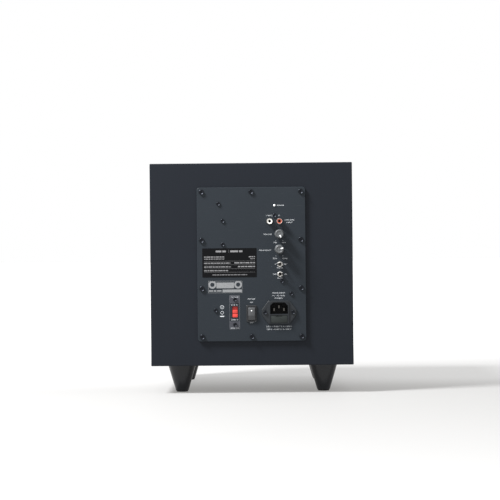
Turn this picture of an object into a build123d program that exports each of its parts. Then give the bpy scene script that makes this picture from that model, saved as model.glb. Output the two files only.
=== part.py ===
from build123d import *
import os
from math import atan, cos, degrees, radians, sin, tan

# Active subwoofer, in millimetres. +Z is up, the grille and woofer face -Y, the amplifier panel faces +Y.
# The origin is the centre of the whole box on the ground, between the feet.

# ---------------------------------------------------------------- driving dimensions
CABINET_W = 290.0
CABINET_H = 290.0
CABINET_D = 290.0
FOOT_H = 40.0
BOARD_T = 15.0
BAFFLE_T = 18.0
BRACE_T = 12.0
EDGE_R = 1.2
FIT = 0.05  # radial play where a screw or sleeve sits in its own hole
RUNNING = 0.08  # radial play of a shaft that turns or a peg that slides
FREE = 0.3  # gap round a loose moving piece

GRILLE_GAP = 1.5
GRILLE_T = 9.0
GRILLE_W = 286.0
CLOTH_T = 1.5

PANEL_W = 155.0
PANEL_H = 220.0
PANEL_T = 2.5
GASKET_T = 1.0
KNOB_TIP = 15.0  # from the panel's face to the end of a knob

# ---------------------------------------------------------------- planes worked out from them
GRILLE_DEPTH = GRILLE_GAP + GRILLE_T + CLOTH_T
OVERALL_D = GRILLE_DEPTH + CABINET_D + GASKET_T + PANEL_T + KNOB_TIP
FRONT_Y = -OVERALL_D / 2 + GRILLE_DEPTH
REAR_Y = FRONT_Y + CABINET_D
MID_Y = (FRONT_Y + REAR_Y) / 2
BOTTOM_Z = FOOT_H
TOP_Z = FOOT_H + CABINET_H
CENTRE_Z = (BOTTOM_Z + TOP_Z) / 2
HALF_W = CABINET_W / 2
BAFFLE_BACK = FRONT_Y + BAFFLE_T
REAR_INNER = REAR_Y - BOARD_T
PANEL_BACK = REAR_Y + GASKET_T
PANEL_FACE = PANEL_BACK + PANEL_T

# ---------------------------------------------------------------- woofer, radii and depths behind the baffle's face
WOOFER_R = 104.0
WOOFER_HOLE_R = 91.0
RECESS_DEPTH = 5.0
FLANGE_FRONT = 1.0
FLANGE_T = 3.0
WOOFER_SCREW_R = 98.0
WOOFER_SCREWS = 8
FRAME_INNER_R = 85.0
ROLL_R = 6.0
ROLL_CENTRE_R = FRAME_INNER_R - ROLL_R
CONE_LIP_R = 74.0
CONE_NECK_R = 19.5
CONE_NECK_DEPTH = 36.0
SPIDER_DEPTH = 44.0
SPIDER_R = 54.0
BASKET_DEPTH = 56.0
BASKET_SEAT_R = 58.0
TOP_PLATE_T = 5.0
MAGNET_R = 55.0
MAGNET_T = 18.0
YOKE_T = 6.0
POLE_R = 18.3
COIL_R = 19.0
SKIN = 1.0  # thickness of the cone, cap and spider

# ---------------------------------------------------------------- rear panel, (across, up) from its centre, seen from behind
PANEL_SCREW_U = 71.0
PANEL_SCREW_ROWS = (-103.5, -34.5, 34.5, 103.5)
CUTOUT_W = 129.0
CUTOUT_H = 194.0
LED_AT = (33.5, 83.8)
RCA_AT = (33.4, 61.1)
RCA_PITCH = 14.0
RCA_SCREW_AT = (33.4, 69.6)
VOLUME_AT = (40.0, 42.9)
FREQUENCY_AT = (40.0, 20.9)
PHASE_AT = (40.6, -0.4)
AUTO_AT = (40.6, -14.5)
SELECTOR_AT = (-24.2, -68.2)
SELECTOR_SCREW_PITCH = 36.0
ROCKER_AT = (-0.5, -70.7)
INLET_AT = (38.7, -69.1)
INLET_SCREW_PITCH = 40.0
LABEL_AT = (-31.5, 2.3)
LABEL_SIZE = (77.6, 41.6)
HEATSINK_SCREWS = ((-46.9, 86.8), (-40.9, 62.2), (-41.0, 28.5))
BOARD_SCREWS = ((56.4, -42.5), (43.3, -24.4), (-51.8, -65.6))
SPACER_H = 14.0

# ---------------------------------------------------------------- port and feet
PORT_R = 26.0
PORT_WALL = 3.0
PORT_TOP = BOTTOM_Z + 165.0
PORT_Y = 50.0
PORT_FLANGE_R = 42.0
PORT_FLANGE_T = 4.0
FOOT_INSET = 42.0
FOOT_TOP_R = 20.8
FOOT_BOTTOM_R = 9.2
PAD_R = 8.4
PAD_T = 3.0
PAD_PROUD = 1.5

# ---------------------------------------------------------------- angles and strokes at rest
TOGGLE_TILT = 12.0
ROCKER_TILT = 11.0
VOLUME_POINTER = -66.0  # degrees from the panel's right-hand direction, counter-clockwise seen from behind
FREQUENCY_POINTER = 20.0


# ================================================================ helpers
def block(x0, x1, y0, y1, z0, z1):
    """Box between two opposite corners."""
    return Pos((x0 + x1) / 2, (y0 + y1) / 2, (z0 + z1) / 2) * Box(x1 - x0, y1 - y0, z1 - z0)


def behind(y, at=(0, 0)):
    """Drawing plane parallel to the rear panel: local X and Y are across and up, seen from behind; Z is +Y."""
    return Plane(origin=(-at[0], y, CENTRE_Z + at[1]), x_dir=(-1, 0, 0), z_dir=(0, 1, 0))


def rod(y0, y1, radius, at=(0, 0)):
    """Round bar along Y from y0 to y1, placed like a panel feature."""
    bar = Cylinder(radius, y1 - y0, align=(Align.CENTER, Align.CENTER, Align.MIN))
    return behind(y0, at) * bar


def slab(y0, y1, outline, at=(0, 0)):
    """Flat outline given thickness along Y from y0 to y1, placed like a panel feature."""
    return extrude(behind(y0, at) * outline, amount=y1 - y0)


def turned(*outline):
    """Ring turned about the woofer's axis from edges in (radius, depth behind the baffle's face)."""
    profile = Pos(0, FRONT_Y, CENTRE_Z) * make_face(Curve() + list(outline))
    return revolve(profile, Axis((0, FRONT_Y, CENTRE_Z), (0, 1, 0)))


def ring(inner, outer, front, back):
    """Plain ring about the woofer's axis, depths behind the baffle's face."""
    bar = rod(FRONT_Y + front, FRONT_Y + back, outer)
    if inner:
        bar -= rod(FRONT_Y + front - 1, FRONT_Y + back + 1, inner)
    return bar


def polar(radius, count, first=0.0):
    """Points evenly round the woofer's axis, as (across, up) from it."""
    angles = [radians(first + 360 * i / count) for i in range(count)]
    return [(radius * cos(a), radius * sin(a)) for a in angles]


def pan_screw(seat, at, head_r, head_t, shank_r, length):
    """Pan-head cross-recess screw driven towards -Y, its head resting on the plane y = seat."""
    head = rod(seat, seat + head_t, head_r, at)
    head = fillet(head.edges().filter_by(GeomType.CIRCLE).sort_by(Axis.Y)[-1], head_t * 0.6)
    slots = Rectangle(head_r * 1.1, head_r * 0.28) + Rectangle(head_r * 0.28, head_r * 1.1)
    head -= slab(seat + head_t * 0.45, seat + head_t + 1, slots, at)
    return head + rod(seat - length, seat, shank_r, at)


def panel_screw_points():
    """The ten screws round the panel's edge."""
    sides = [(side * PANEL_SCREW_U, row) for side in (-1, 1) for row in PANEL_SCREW_ROWS]
    return sides + [(0, PANEL_SCREW_ROWS[0]), (0, PANEL_SCREW_ROWS[-1])]


def pair(centre, pitch, across=True):
    """Two points a pitch apart about a centre, side by side or one above the other."""
    step = (pitch / 2, 0) if across else (0, pitch / 2)
    return [(centre[0] + s * step[0], centre[1] + s * step[1]) for s in (-1, 1)]


def foot_points():
    """Ground positions of the four feet."""
    reach_x = HALF_W - FOOT_INSET
    reach_y = CABINET_D / 2 - FOOT_INSET
    return [(x * reach_x, MID_Y + y * reach_y) for x in (-1, 1) for y in (-1, 1)]


# ================================================================ cabinet
FRONT_SCREW_R = 1.75
CUP_R = 6.0
CUP_DEPTH = 13.0
CUP_INSET = 14.0  # from the grille's edge to a peg
PEG_R = 4.0
PEG_LENGTH = 9.0
FOOT_SCREW_R = 2.5
FOOT_SCREW_GRIP = 12.0
WOOD_SCREW_R = 1.75
WOOD_SCREW_L = 14.0


def peg_points():
    """The grille's four pegs, one near each corner."""
    reach = GRILLE_W / 2 - CUP_INSET
    return [(x * reach, z * reach) for x in (-1, 1) for z in (-1, 1)]


def rounded_board(y0, y1, outer_face):
    """Full-size board with its four corners and its outer rim eased; outer_face is -1 for front, 1 for rear."""
    board = block(-HALF_W, HALF_W, y0, y1, BOTTOM_Z, TOP_Z)
    board = fillet(board.edges().filter_by(Axis.Y), EDGE_R)
    rim = board.faces().sort_by(Axis.Y)[0 if outer_face < 0 else -1]
    return fillet(rim.edges(), EDGE_R)


def front_baffle():
    board = rounded_board(FRONT_Y, BAFFLE_BACK, -1)
    board -= ring(0, WOOFER_HOLE_R, -1, BAFFLE_T + 1)
    board -= ring(0, WOOFER_R + 0.6, -1, RECESS_DEPTH)
    for point in polar(WOOFER_SCREW_R, WOOFER_SCREWS, 22.5):
        board -= rod(FRONT_Y, FRONT_Y + BAFFLE_T - 1, FRONT_SCREW_R + FIT, point)
    for point in peg_points():
        board -= rod(FRONT_Y - 1, FRONT_Y + CUP_DEPTH, CUP_R + FIT, point)
    return board


def rear_board():
    board = rounded_board(REAR_INNER, REAR_Y, 1)
    board -= slab(REAR_INNER - 1, REAR_Y + 1, RectangleRounded(CUTOUT_W, CUTOUT_H, 6))
    for point in panel_screw_points():
        board -= rod(REAR_Y - WOOD_SCREW_L + 1, REAR_Y + 1, WOOD_SCREW_R + FIT, point)
    return board


def cabinet_top():
    board = block(-HALF_W, HALF_W, BAFFLE_BACK, REAR_INNER, TOP_Z - BOARD_T, TOP_Z)
    outer = board.edges().filter_by(Axis.Y).group_by(Axis.Z)[-1]
    return fillet(outer, EDGE_R)


def cabinet_bottom():
    board = block(-HALF_W, HALF_W, BAFFLE_BACK, REAR_INNER, BOTTOM_Z, BOTTOM_Z + BOARD_T)
    board = fillet(board.edges().filter_by(Axis.Y).group_by(Axis.Z)[0], EDGE_R)
    board -= Pos(0, PORT_Y, BOTTOM_Z) * Cylinder(PORT_R + PORT_WALL + FIT, 4 * BOARD_T)
    board -= Pos(0, PORT_Y, BOTTOM_Z) * Cylinder(PORT_FLANGE_R + FIT, 2 * PORT_FLANGE_T)
    for x, y in foot_points():
        board -= Pos(x, y, BOTTOM_Z) * Cylinder(FOOT_SCREW_R + FIT, 2 * FOOT_SCREW_GRIP + 1)
    return board


def cabinet_side(side):
    """Left or right board, between the top and the bottom; side is -1 or 1 along X."""
    outer = side * HALF_W
    inner = side * (HALF_W - BOARD_T)
    low_z, high_z = BOTTOM_Z + BOARD_T, TOP_Z - BOARD_T
    return block(min(outer, inner), max(outer, inner), BAFFLE_BACK, REAR_INNER, low_z, high_z)


BRACE_Y = 8.0
BRACE_WINDOW = 180.0


def cabinet_brace():
    """Window brace glued between the four boards, half way back."""
    size = CABINET_W - 2 * BOARD_T
    board = slab(BRACE_Y, BRACE_Y + BRACE_T, Rectangle(size, CABINET_H - 2 * BOARD_T))
    return board - slab(BRACE_Y - 1, BRACE_Y + BRACE_T + 1, RectangleRounded(BRACE_WINDOW, BRACE_WINDOW, 20))


def port_tube():
    """Straight reflex tube that fires down between the feet, with a flared and flanged mouth."""
    height = PORT_TOP - BOTTOM_Z
    base = (Align.CENTER, Align.CENTER, Align.MIN)
    tube = Cylinder(PORT_R + PORT_WALL, height, align=base)
    tube += Cylinder(PORT_FLANGE_R, PORT_FLANGE_T, align=base)
    tube -= Pos(0, 0, -1) * Cylinder(PORT_R, height + 2, align=base)
    mouth = tube.edges().filter_by(GeomType.CIRCLE).group_by(Axis.Z)[0].sort_by(SortBy.RADIUS)[0]
    return Pos(0, PORT_Y, BOTTOM_Z) * fillet(mouth, 8)


def acoustic_wadding():
    """Polyester pad glued under the top, between the baffle and the brace."""
    return block(-120, 120, BAFFLE_BACK + 5, BRACE_Y - 3, TOP_Z - BOARD_T - 30, TOP_Z - BOARD_T)


# ================================================================ feet
FOOT_HEAD_R = 4.6
FOOT_HEAD_T = 3.5
FOOT_HEAD_Z = 10.5


def feet():
    low = PAD_PROUD
    base = (Align.CENTER, Align.CENTER, Align.MIN)
    foot = Pos(0, 0, low) * Cone(FOOT_BOTTOM_R, FOOT_TOP_R, FOOT_H - low, align=base)
    foot = fillet(foot.edges().filter_by(GeomType.CIRCLE).sort_by(Axis.Z)[0], 0.5)
    foot -= Cylinder(FOOT_HEAD_R + FREE, FOOT_HEAD_Z + FOOT_HEAD_T, align=base)
    foot -= Cylinder(PAD_R + FIT, PAD_T, align=base)
    foot -= Cylinder(FOOT_SCREW_R + FIT, FOOT_H + 1, align=base)
    return Part() + [Pos(x, y, 0) * foot for x, y in foot_points()]


def foot_pads():
    pad = Cylinder(PAD_R, PAD_T, align=(Align.CENTER, Align.CENTER, Align.MIN))
    pad = fillet(pad.edges().filter_by(GeomType.CIRCLE).sort_by(Axis.Z)[0], 0.4)
    return Part() + [Pos(x, y, 0) * pad for x, y in foot_points()]


def foot_screws():
    base = (Align.CENTER, Align.CENTER, Align.MIN)
    screw = Pos(0, 0, FOOT_HEAD_Z) * Cylinder(FOOT_HEAD_R, FOOT_HEAD_T, align=base)
    screw += Pos(0, 0, FOOT_HEAD_Z) * Cylinder(FOOT_SCREW_R, FOOT_H + FOOT_SCREW_GRIP - FOOT_HEAD_Z, align=base)
    screw -= Pos(0, 0, FOOT_HEAD_Z) * extrude(RegularPolygon(2.3, 6), amount=2)
    return Part() + [Pos(x, y, 0) * screw for x, y in foot_points()]


# ================================================================ grille
GRILLE_WINDOW = 238.0
GRILLE_BACK = FRONT_Y - GRILLE_GAP


def grille_frame():
    """Moulded frame with wide inner corners and four pegs that push into the baffle's cups."""
    front = GRILLE_BACK - GRILLE_T
    frame = slab(front, GRILLE_BACK, RectangleRounded(GRILLE_W, GRILLE_W, 5))
    frame -= slab(front - 1, GRILLE_BACK + 1, RectangleRounded(GRILLE_WINDOW, GRILLE_WINDOW, 34))
    rim = frame.faces().sort_by(Axis.Y)[0].outer_wire()
    frame = fillet(rim.edges(), 2)
    for point in peg_points():
        peg = rod(GRILLE_BACK, GRILLE_BACK + GRILLE_GAP + PEG_LENGTH, PEG_R, point)
        tip = peg.edges().filter_by(GeomType.CIRCLE).sort_by(Axis.Y)[-1]
        frame += fillet(tip, 1.5)
    return frame


def grille_cloth():
    """Cloth stretched over the frame's front."""
    front = GRILLE_BACK - GRILLE_T - CLOTH_T
    cloth = slab(front, front + CLOTH_T, RectangleRounded(GRILLE_W, GRILLE_W, 5))
    return cloth


def grille_cups():
    """Rubber cups in the baffle that grip the pegs."""
    cups = []
    for point in peg_points():
        cup = rod(FRONT_Y, FRONT_Y + CUP_DEPTH, CUP_R, point)
        cup -= rod(FRONT_Y - 1, FRONT_Y + CUP_DEPTH - 2, PEG_R + RUNNING, point)
        cups.append(cup)
    return Part() + cups


# ================================================================ woofer
def basket_wall_r(depth):
    """Inner radius of the basket's wall, which narrows evenly from the flange to the spider's seat."""
    run = (depth - FLANGE_FRONT) / (SPIDER_DEPTH + SKIN - FLANGE_FRONT)
    return FRAME_INNER_R + (BASKET_SEAT_R - FRAME_INNER_R) * run


BASKET_WALL = 2.5
WINDOW_HALF = 36.0
WINDOW_DEPTHS = (11.0, 40.0)


def woofer_basket():
    """Cast basket: flange, four legs with a window between each two, spider seat and motor seat."""
    seat = SPIDER_DEPTH + SKIN
    inner = [(FRAME_INNER_R, FLANGE_FRONT), (BASKET_SEAT_R, seat), (SPIDER_R - 6, seat)]
    inner += [(SPIDER_R - 6, BASKET_DEPTH - 3), (24, BASKET_DEPTH - 3), (24, BASKET_DEPTH)]
    outer = [(SPIDER_R - 2, BASKET_DEPTH), (BASKET_SEAT_R + BASKET_WALL, seat + 2)]
    outer += [(FRAME_INNER_R + BASKET_WALL, FLANGE_FRONT + FLANGE_T), (WOOFER_R, FLANGE_FRONT + FLANGE_T)]
    outer += [(WOOFER_R, FLANGE_FRONT)]
    basket = turned(Polyline(*inner, *outer, close=True))
    near, far = (FRONT_Y + depth for depth in WINDOW_DEPTHS)
    reach = WOOFER_R + 5
    basket -= block(-reach, -SPIDER_R, near, far, CENTRE_Z - WINDOW_HALF, CENTRE_Z + WINDOW_HALF)
    basket -= block(SPIDER_R, reach, near, far, CENTRE_Z - WINDOW_HALF, CENTRE_Z + WINDOW_HALF)
    basket -= block(-WINDOW_HALF, WINDOW_HALF, near, far, CENTRE_Z + SPIDER_R, CENTRE_Z + reach)
    basket -= block(-WINDOW_HALF, WINDOW_HALF, near, far, CENTRE_Z - reach, CENTRE_Z - SPIDER_R)
    for point in polar(WOOFER_SCREW_R, WOOFER_SCREWS, 22.5):
        basket -= rod(FRONT_Y, FRONT_Y + RECESS_DEPTH, FRONT_SCREW_R + FIT, point)
    return basket


def woofer_gasket():
    """Foam ring between the flange and the floor of the baffle's recess."""
    foam = ring(WOOFER_HOLE_R + 1, WOOFER_R, FLANGE_FRONT + FLANGE_T, RECESS_DEPTH)
    for point in polar(WOOFER_SCREW_R, WOOFER_SCREWS, 22.5):
        foam -= rod(FRONT_Y, FRONT_Y + RECESS_DEPTH + 1, FRONT_SCREW_R + FIT, point)
    return foam


def woofer_screws():
    """Eight pan-head screws through the flange, their heads towards the grille."""
    screws = []
    turn = Rot(0, 0, 180)
    for across, up in polar(WOOFER_SCREW_R, WOOFER_SCREWS, 22.5):
        screw = pan_screw(0, (0, -CENTRE_Z), 3.8, 2.4, FRONT_SCREW_R, 14)
        screws.append(Pos(across, FRONT_Y + FLANGE_FRONT, CENTRE_Z + up) * turn * screw)
    return Part() + screws


def cone_profile(offset):
    """The cone's curve from its lip to its neck, moved back by offset."""
    start = (CONE_LIP_R - 4, FLANGE_FRONT + offset)
    middle = ((CONE_LIP_R - 4 + CONE_NECK_R) / 2 - 3, CONE_NECK_DEPTH / 2 - 2 + offset)
    end = (CONE_NECK_R, CONE_NECK_DEPTH + offset)
    return ThreePointArc(start, middle, end)


def woofer_cone():
    front, back = cone_profile(0), cone_profile(SKIN)
    lip = Polyline(front @ 0, (CONE_LIP_R, FLANGE_FRONT), (CONE_LIP_R, FLANGE_FRONT + SKIN), back @ 0)
    return turned(front, lip, back, Line(front @ 1, back @ 1))


CAP_R = 32.0
CAP_RISE = 12.0
CAP_TOP_DEPTH = 13.6


def woofer_dust_cap():
    """Domed cap over the voice coil, its rim trimmed to the cone's face."""
    foot = CAP_TOP_DEPTH + CAP_RISE
    outer = ThreePointArc((0, CAP_TOP_DEPTH), (CAP_R * 0.55, CAP_TOP_DEPTH + CAP_RISE * 0.28), (CAP_R, foot))
    inner_top = CAP_TOP_DEPTH + SKIN
    inner = ThreePointArc((0, inner_top), (CAP_R * 0.54, inner_top + CAP_RISE * 0.28), (CAP_R - 1.2, foot))
    dome = turned(outer, Line(outer @ 1, inner @ 1), inner, Line(inner @ 0, outer @ 0))
    face = cone_profile(0)
    back = CONE_NECK_DEPTH + 10
    behind_cone = turned(face, Polyline(face @ 1, (CONE_NECK_R, back), (CONE_LIP_R - 4, back), face @ 0))
    return dome - behind_cone


def woofer_surround():
    """Half-roll rubber edge between the cone's lip and the flange."""
    face = FLANGE_FRONT
    thick = 0.8
    outer_end, inner_end = FRAME_INNER_R, FRAME_INNER_R - 2 * ROLL_R
    top = ThreePointArc((outer_end, face), (ROLL_CENTRE_R, face - ROLL_R), (inner_end, face))
    under_r = ROLL_R - thick
    under = ThreePointArc((ROLL_CENTRE_R + under_r, face), (ROLL_CENTRE_R, face - under_r), (ROLL_CENTRE_R - under_r, face))
    roll = turned(top, Line(top @ 0, under @ 0), under, Line(under @ 1, top @ 1))
    landing = ring(outer_end - thick, outer_end + 7, face - thick, face)
    lip = ring(CONE_LIP_R - 4, CONE_LIP_R - 0.3, face - thick, face)
    return roll + landing + lip


SPIDER_WAVES = 5


def spider_profile(offset):
    """Corrugated curve from the coil to the basket's seat, a chain of equal half-waves."""
    inner, outer = COIL_R + SKIN, SPIDER_R - 7
    step = (outer - inner) / (2 * SPIDER_WAVES)
    depth = SPIDER_DEPTH + offset
    waves = []
    for i in range(2 * SPIDER_WAVES):
        start = inner + i * step
        crest = depth + (1.4 if i % 2 else -1.4)
        waves.append(ThreePointArc((start, depth), (start + step / 2, crest), (start + step, depth)))
    return waves + [Line((outer, depth), (SPIDER_R + 2, depth))]


def woofer_spider():
    """Corrugated cloth disc that centres the voice coil."""
    front, back = spider_profile(0), spider_profile(SKIN)
    ends = [Line(front[0] @ 0, back[0] @ 0), Line(front[-1] @ 1, back[-1] @ 1)]
    return turned(*front, *back, *ends)


def voice_coil():
    """Former from the cone's neck into the gap, with its winding about the top plate."""
    tube = ring(COIL_R, COIL_R + 0.5, CONE_NECK_DEPTH - 4, BASKET_DEPTH + TOP_PLATE_T + 4)
    winding = ring(COIL_R + 0.3, COIL_R + 1.2, BASKET_DEPTH - 4, BASKET_DEPTH + TOP_PLATE_T + 4)
    return tube + winding


def woofer_top_plate():
    return ring(COIL_R + 1.8, MAGNET_R - 4, BASKET_DEPTH, BASKET_DEPTH + TOP_PLATE_T)


def woofer_magnet():
    front = BASKET_DEPTH + TOP_PLATE_T
    magnet = ring(27, MAGNET_R, front, front + MAGNET_T)
    return chamfer(magnet.edges().filter_by(GeomType.CIRCLE).sort_by(SortBy.RADIUS)[-2:], 1)


def woofer_yoke():
    """Back plate and vented pole in one piece."""
    front = BASKET_DEPTH + TOP_PLATE_T + MAGNET_T
    plate = ring(0, MAGNET_R - 4, front, front + YOKE_T)
    plate += ring(0, POLE_R, BASKET_DEPTH - 1, front + 1)
    return plate - ring(0, 5, BASKET_DEPTH - 2, front + YOKE_T + 1)


TERMINAL_R = 77.8
TERMINAL_DEPTH = 26.0


def terminal_frame():
    """Place of the tag strip on the basket's upper leg, facing away from the woofer's axis."""
    reach = TERMINAL_R * cos(radians(45))
    origin = (reach, FRONT_Y + TERMINAL_DEPTH, CENTRE_Z + reach)
    return Plane(origin=origin, x_dir=(0, 1, 0), z_dir=(1, 0, 1))


def woofer_terminals():
    """Tag strip with two blades for the speaker leads."""
    strip = Box(8, 16, 3)
    blades = [Pos(5, side * 4.5, 0.6) * Box(14, 4.8, 0.8) for side in (-1, 1)]
    return terminal_frame() * (strip + blades)


# ================================================================ amplifier panel
def amp_gasket():
    """Foam frame between the panel and the rear board."""
    foam = slab(REAR_Y, PANEL_BACK, RectangleRounded(PANEL_W, PANEL_H, 4) - RectangleRounded(CUTOUT_W, CUTOUT_H, 6))
    for point in panel_screw_points():
        foam -= rod(REAR_Y - 1, PANEL_BACK + 1, WOOD_SCREW_R + FIT, point)
    return foam


MACHINE_SCREW_R = 1.5
RCA_COLLAR_R = 4.9
BUSH_R = 3.5
TOGGLE_BUSH_R = 3.0
LED_R = 1.5
WINDOW_SIZE = (8.2, 15.8)
ROCKER_BODY = (12.8, 21.4)
INLET_BODY = (28.0, 32.4)


def machine_screw_points():
    """Screws that hold what sits behind the panel, with the plane each head rests on."""
    plain = [RCA_SCREW_AT, *HEATSINK_SCREWS, *BOARD_SCREWS]
    plain += pair(SELECTOR_AT, SELECTOR_SCREW_PITCH, across=False)
    raised = pair(INLET_AT, INLET_SCREW_PITCH)
    return [(point, PANEL_FACE) for point in plain] + [(point, PANEL_FACE + FLANGE_PROUD) for point in raised]


def amp_panel():
    """Painted steel plate that carries every control and socket."""
    low, high = PANEL_BACK - 1, PANEL_FACE + 1
    plate = slab(PANEL_BACK, PANEL_FACE, RectangleRounded(PANEL_W, PANEL_H, 4))
    plate = chamfer(plate.faces().sort_by(Axis.Y)[-1].edges(), 0.4)
    for point in panel_screw_points():
        plate -= rod(low, high, WOOD_SCREW_R + FIT, point)
    for point, _ in machine_screw_points():
        plate -= rod(low, high, MACHINE_SCREW_R + FIT, point)
    for point in pair(RCA_AT, RCA_PITCH):
        plate -= rod(low, high, RCA_COLLAR_R + FIT, point)
    for point in (VOLUME_AT, FREQUENCY_AT):
        plate -= rod(low, high, BUSH_R + FIT, point)
    for point in (PHASE_AT, AUTO_AT):
        plate -= rod(low, high, TOGGLE_BUSH_R + FIT, point)
    plate -= rod(low, high, LED_R + FIT, LED_AT)
    plate -= slab(low, high, RectangleRounded(*WINDOW_SIZE, 1), SELECTOR_AT)
    plate -= slab(low, high, Rectangle(ROCKER_BODY[0] + 0.2, ROCKER_BODY[1] + 0.2), ROCKER_AT)
    plate -= slab(low, high, Rectangle(INLET_BODY[0] + 0.4, INLET_BODY[1] + 0.4), INLET_AT)
    return plate


def panel_screws():
    """Ten wood screws through the panel and gasket into the rear board."""
    length = WOOD_SCREW_L + PANEL_FACE - REAR_Y
    return Part() + [pan_screw(PANEL_FACE, p, 3.6, 2.2, WOOD_SCREW_R, length - 1.5) for p in panel_screw_points()]


FLANGE_PROUD = 2.2


def module_screws():
    """Small machine screws, all one kind."""
    return Part() + [pan_screw(seat, p, 2.8, 1.7, MACHINE_SCREW_R, 10) for p, seat in machine_screw_points()]


def rating_label():
    return slab(PANEL_FACE, PANEL_FACE + 0.2, RectangleRounded(*LABEL_SIZE, 0.8), LABEL_AT)


def power_led():
    """Round light with its lens through the panel and its collar behind."""
    lens = rod(PANEL_BACK - 4, PANEL_FACE + 1.2, LED_R, LED_AT)
    lens = fillet(lens.edges().filter_by(GeomType.CIRCLE).sort_by(Axis.Y)[-1], 1.1)
    return lens + rod(PANEL_BACK - 5, PANEL_BACK, 2.0, LED_AT)


# ---------------------------------------------------------------- line input
RCA_OUTER_R = 4.15
RCA_NECK_R = 3.9  # thinner part held in the moulding, behind the collar's face
RCA_COLLAR_T = 0.6
RCA_WALL = 0.65
RCA_PROUD = 8.5
RCA_BORE_R = 1.7
RCA_BLOCK_D = 11.0


def rca_block():
    """Black moulding behind the panel with a collar round each socket."""
    block_at = (RCA_AT[0], RCA_AT[1] + 3.5)
    body = slab(PANEL_BACK - RCA_BLOCK_D, PANEL_BACK, Rectangle(29, 22), block_at)
    for point in pair(RCA_AT, RCA_PITCH):
        body += rod(PANEL_BACK, PANEL_FACE + RCA_COLLAR_T, RCA_COLLAR_R, point)
        body -= rod(PANEL_BACK - 6, PANEL_FACE + 1, RCA_NECK_R + FIT, point)
    return body - rod(PANEL_BACK - 9, PANEL_BACK + 1, MACHINE_SCREW_R + FIT, RCA_SCREW_AT)


def rca_shells():
    """Two plated barrels that a line plug's collar slides over."""
    shells = []
    for point in pair(RCA_AT, RCA_PITCH):
        barrel = rod(PANEL_BACK - 6, PANEL_FACE + RCA_PROUD, RCA_NECK_R, point)
        barrel += rod(PANEL_FACE + RCA_COLLAR_T, PANEL_FACE + RCA_PROUD, RCA_OUTER_R, point)
        barrel -= rod(PANEL_BACK - 7, PANEL_FACE + RCA_PROUD + 1, RCA_OUTER_R - RCA_WALL, point)
        shells.append(barrel)
    return Part() + shells


def rca_insert(side):
    """Coloured insulator inside one barrel, with the bore for the plug's pin; side is -1 or 1."""
    point = pair(RCA_AT, RCA_PITCH)[0 if side < 0 else 1]
    face = PANEL_FACE + RCA_PROUD - 0.5
    core = rod(PANEL_BACK - 6, face, RCA_OUTER_R - RCA_WALL, point)
    return core - rod(PANEL_BACK, face + 1, RCA_BORE_R, point)


# ---------------------------------------------------------------- turning controls
SHAFT_R = 3.0
BUSH_PROUD = 4.6
POT_SIZE = 16.0
POT_D = 8.5
NUT_T = 2.0
KNOB_R = 6.9
KNOB_TOP_R = 5.5
KNOB_BASE = 2.8  # gap under the knob, above the panel's face
FLUTES = 20
SHAFT_END = 12.0


def control_pots():
    """Two potentiometers: a square case behind the panel and a bush through it."""
    pots = []
    for point in (VOLUME_AT, FREQUENCY_AT):
        pot = slab(PANEL_BACK - POT_D, PANEL_BACK, RectangleRounded(POT_SIZE, POT_SIZE, 1.5), point)
        pot += rod(PANEL_BACK - 1, PANEL_FACE + BUSH_PROUD, BUSH_R, point)
        pot -= rod(PANEL_BACK - POT_D + 1.5, PANEL_FACE + BUSH_PROUD + 1, SHAFT_R + RUNNING, point)
        pots.append(pot)
    return Part() + pots


def control_nuts():
    """Hexagon nuts that clamp the pots and the toggle switches to the panel."""
    kinds = [(VOLUME_AT, BUSH_R, 5.4), (FREQUENCY_AT, BUSH_R, 5.4)]
    kinds += [(PHASE_AT, TOGGLE_BUSH_R, 4.3), (AUTO_AT, TOGGLE_BUSH_R, 4.3)]
    nuts = []
    for point, bore, corner in kinds:
        nut = slab(PANEL_FACE, PANEL_FACE + NUT_T, RegularPolygon(corner, 6), point)
        nuts.append(nut - rod(PANEL_FACE - 1, PANEL_FACE + NUT_T + 1, bore + FIT, point))
    return Part() + nuts


def control_shaft(point):
    """Round shaft from inside the pot, flattened where the knob grips it."""
    shaft = rod(PANEL_BACK - POT_D + 2, PANEL_FACE + SHAFT_END, SHAFT_R, point)
    flat = slab(PANEL_FACE + BUSH_PROUD + 1, PANEL_FACE + SHAFT_END + 1, Pos(0, 3.2) * Rectangle(8, 3.4), point)
    return shaft - flat


def control_knob(point, pointer):
    """Fluted knob with a groove for its white pointer; pointer is the angle it shows at rest."""
    low, high = PANEL_FACE + KNOB_BASE, PANEL_FACE + KNOB_TIP
    base = (Align.CENTER, Align.CENTER, Align.MIN)
    lean = degrees(atan((KNOB_R - KNOB_TOP_R) / (high - low)))
    knob = Cone(KNOB_R, KNOB_TOP_R, high - low, align=base)
    knob = fillet(knob.edges().filter_by(GeomType.CIRCLE).sort_by(Axis.Z)[-1], 0.8)
    for i in range(FLUTES):
        flute = Cylinder(0.7, high - low - 2.2, align=base)
        knob -= Rot(0, 0, 360 * i / FLUTES) * Pos(KNOB_R + 0.35, 0, -0.2) * Rot(0, -lean, 0) * flute
    knob = behind(low, point) * knob
    dish = rod(high - 0.5, high + 1, KNOB_TOP_R - 1.5, point)
    groove = Rot(0, 0, pointer) * Pos(KNOB_TOP_R - 1.3, 0) * Rectangle(4.2, 1.3)
    knob = knob - dish - slab(high - 1.1, high + 1, groove, point)
    knob -= rod(low - 1, PANEL_FACE + BUSH_PROUD + 0.6, BUSH_R + 0.6, point)
    return knob - (control_shaft_space(point) & rod(low - 1, high, KNOB_R, point))


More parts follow.
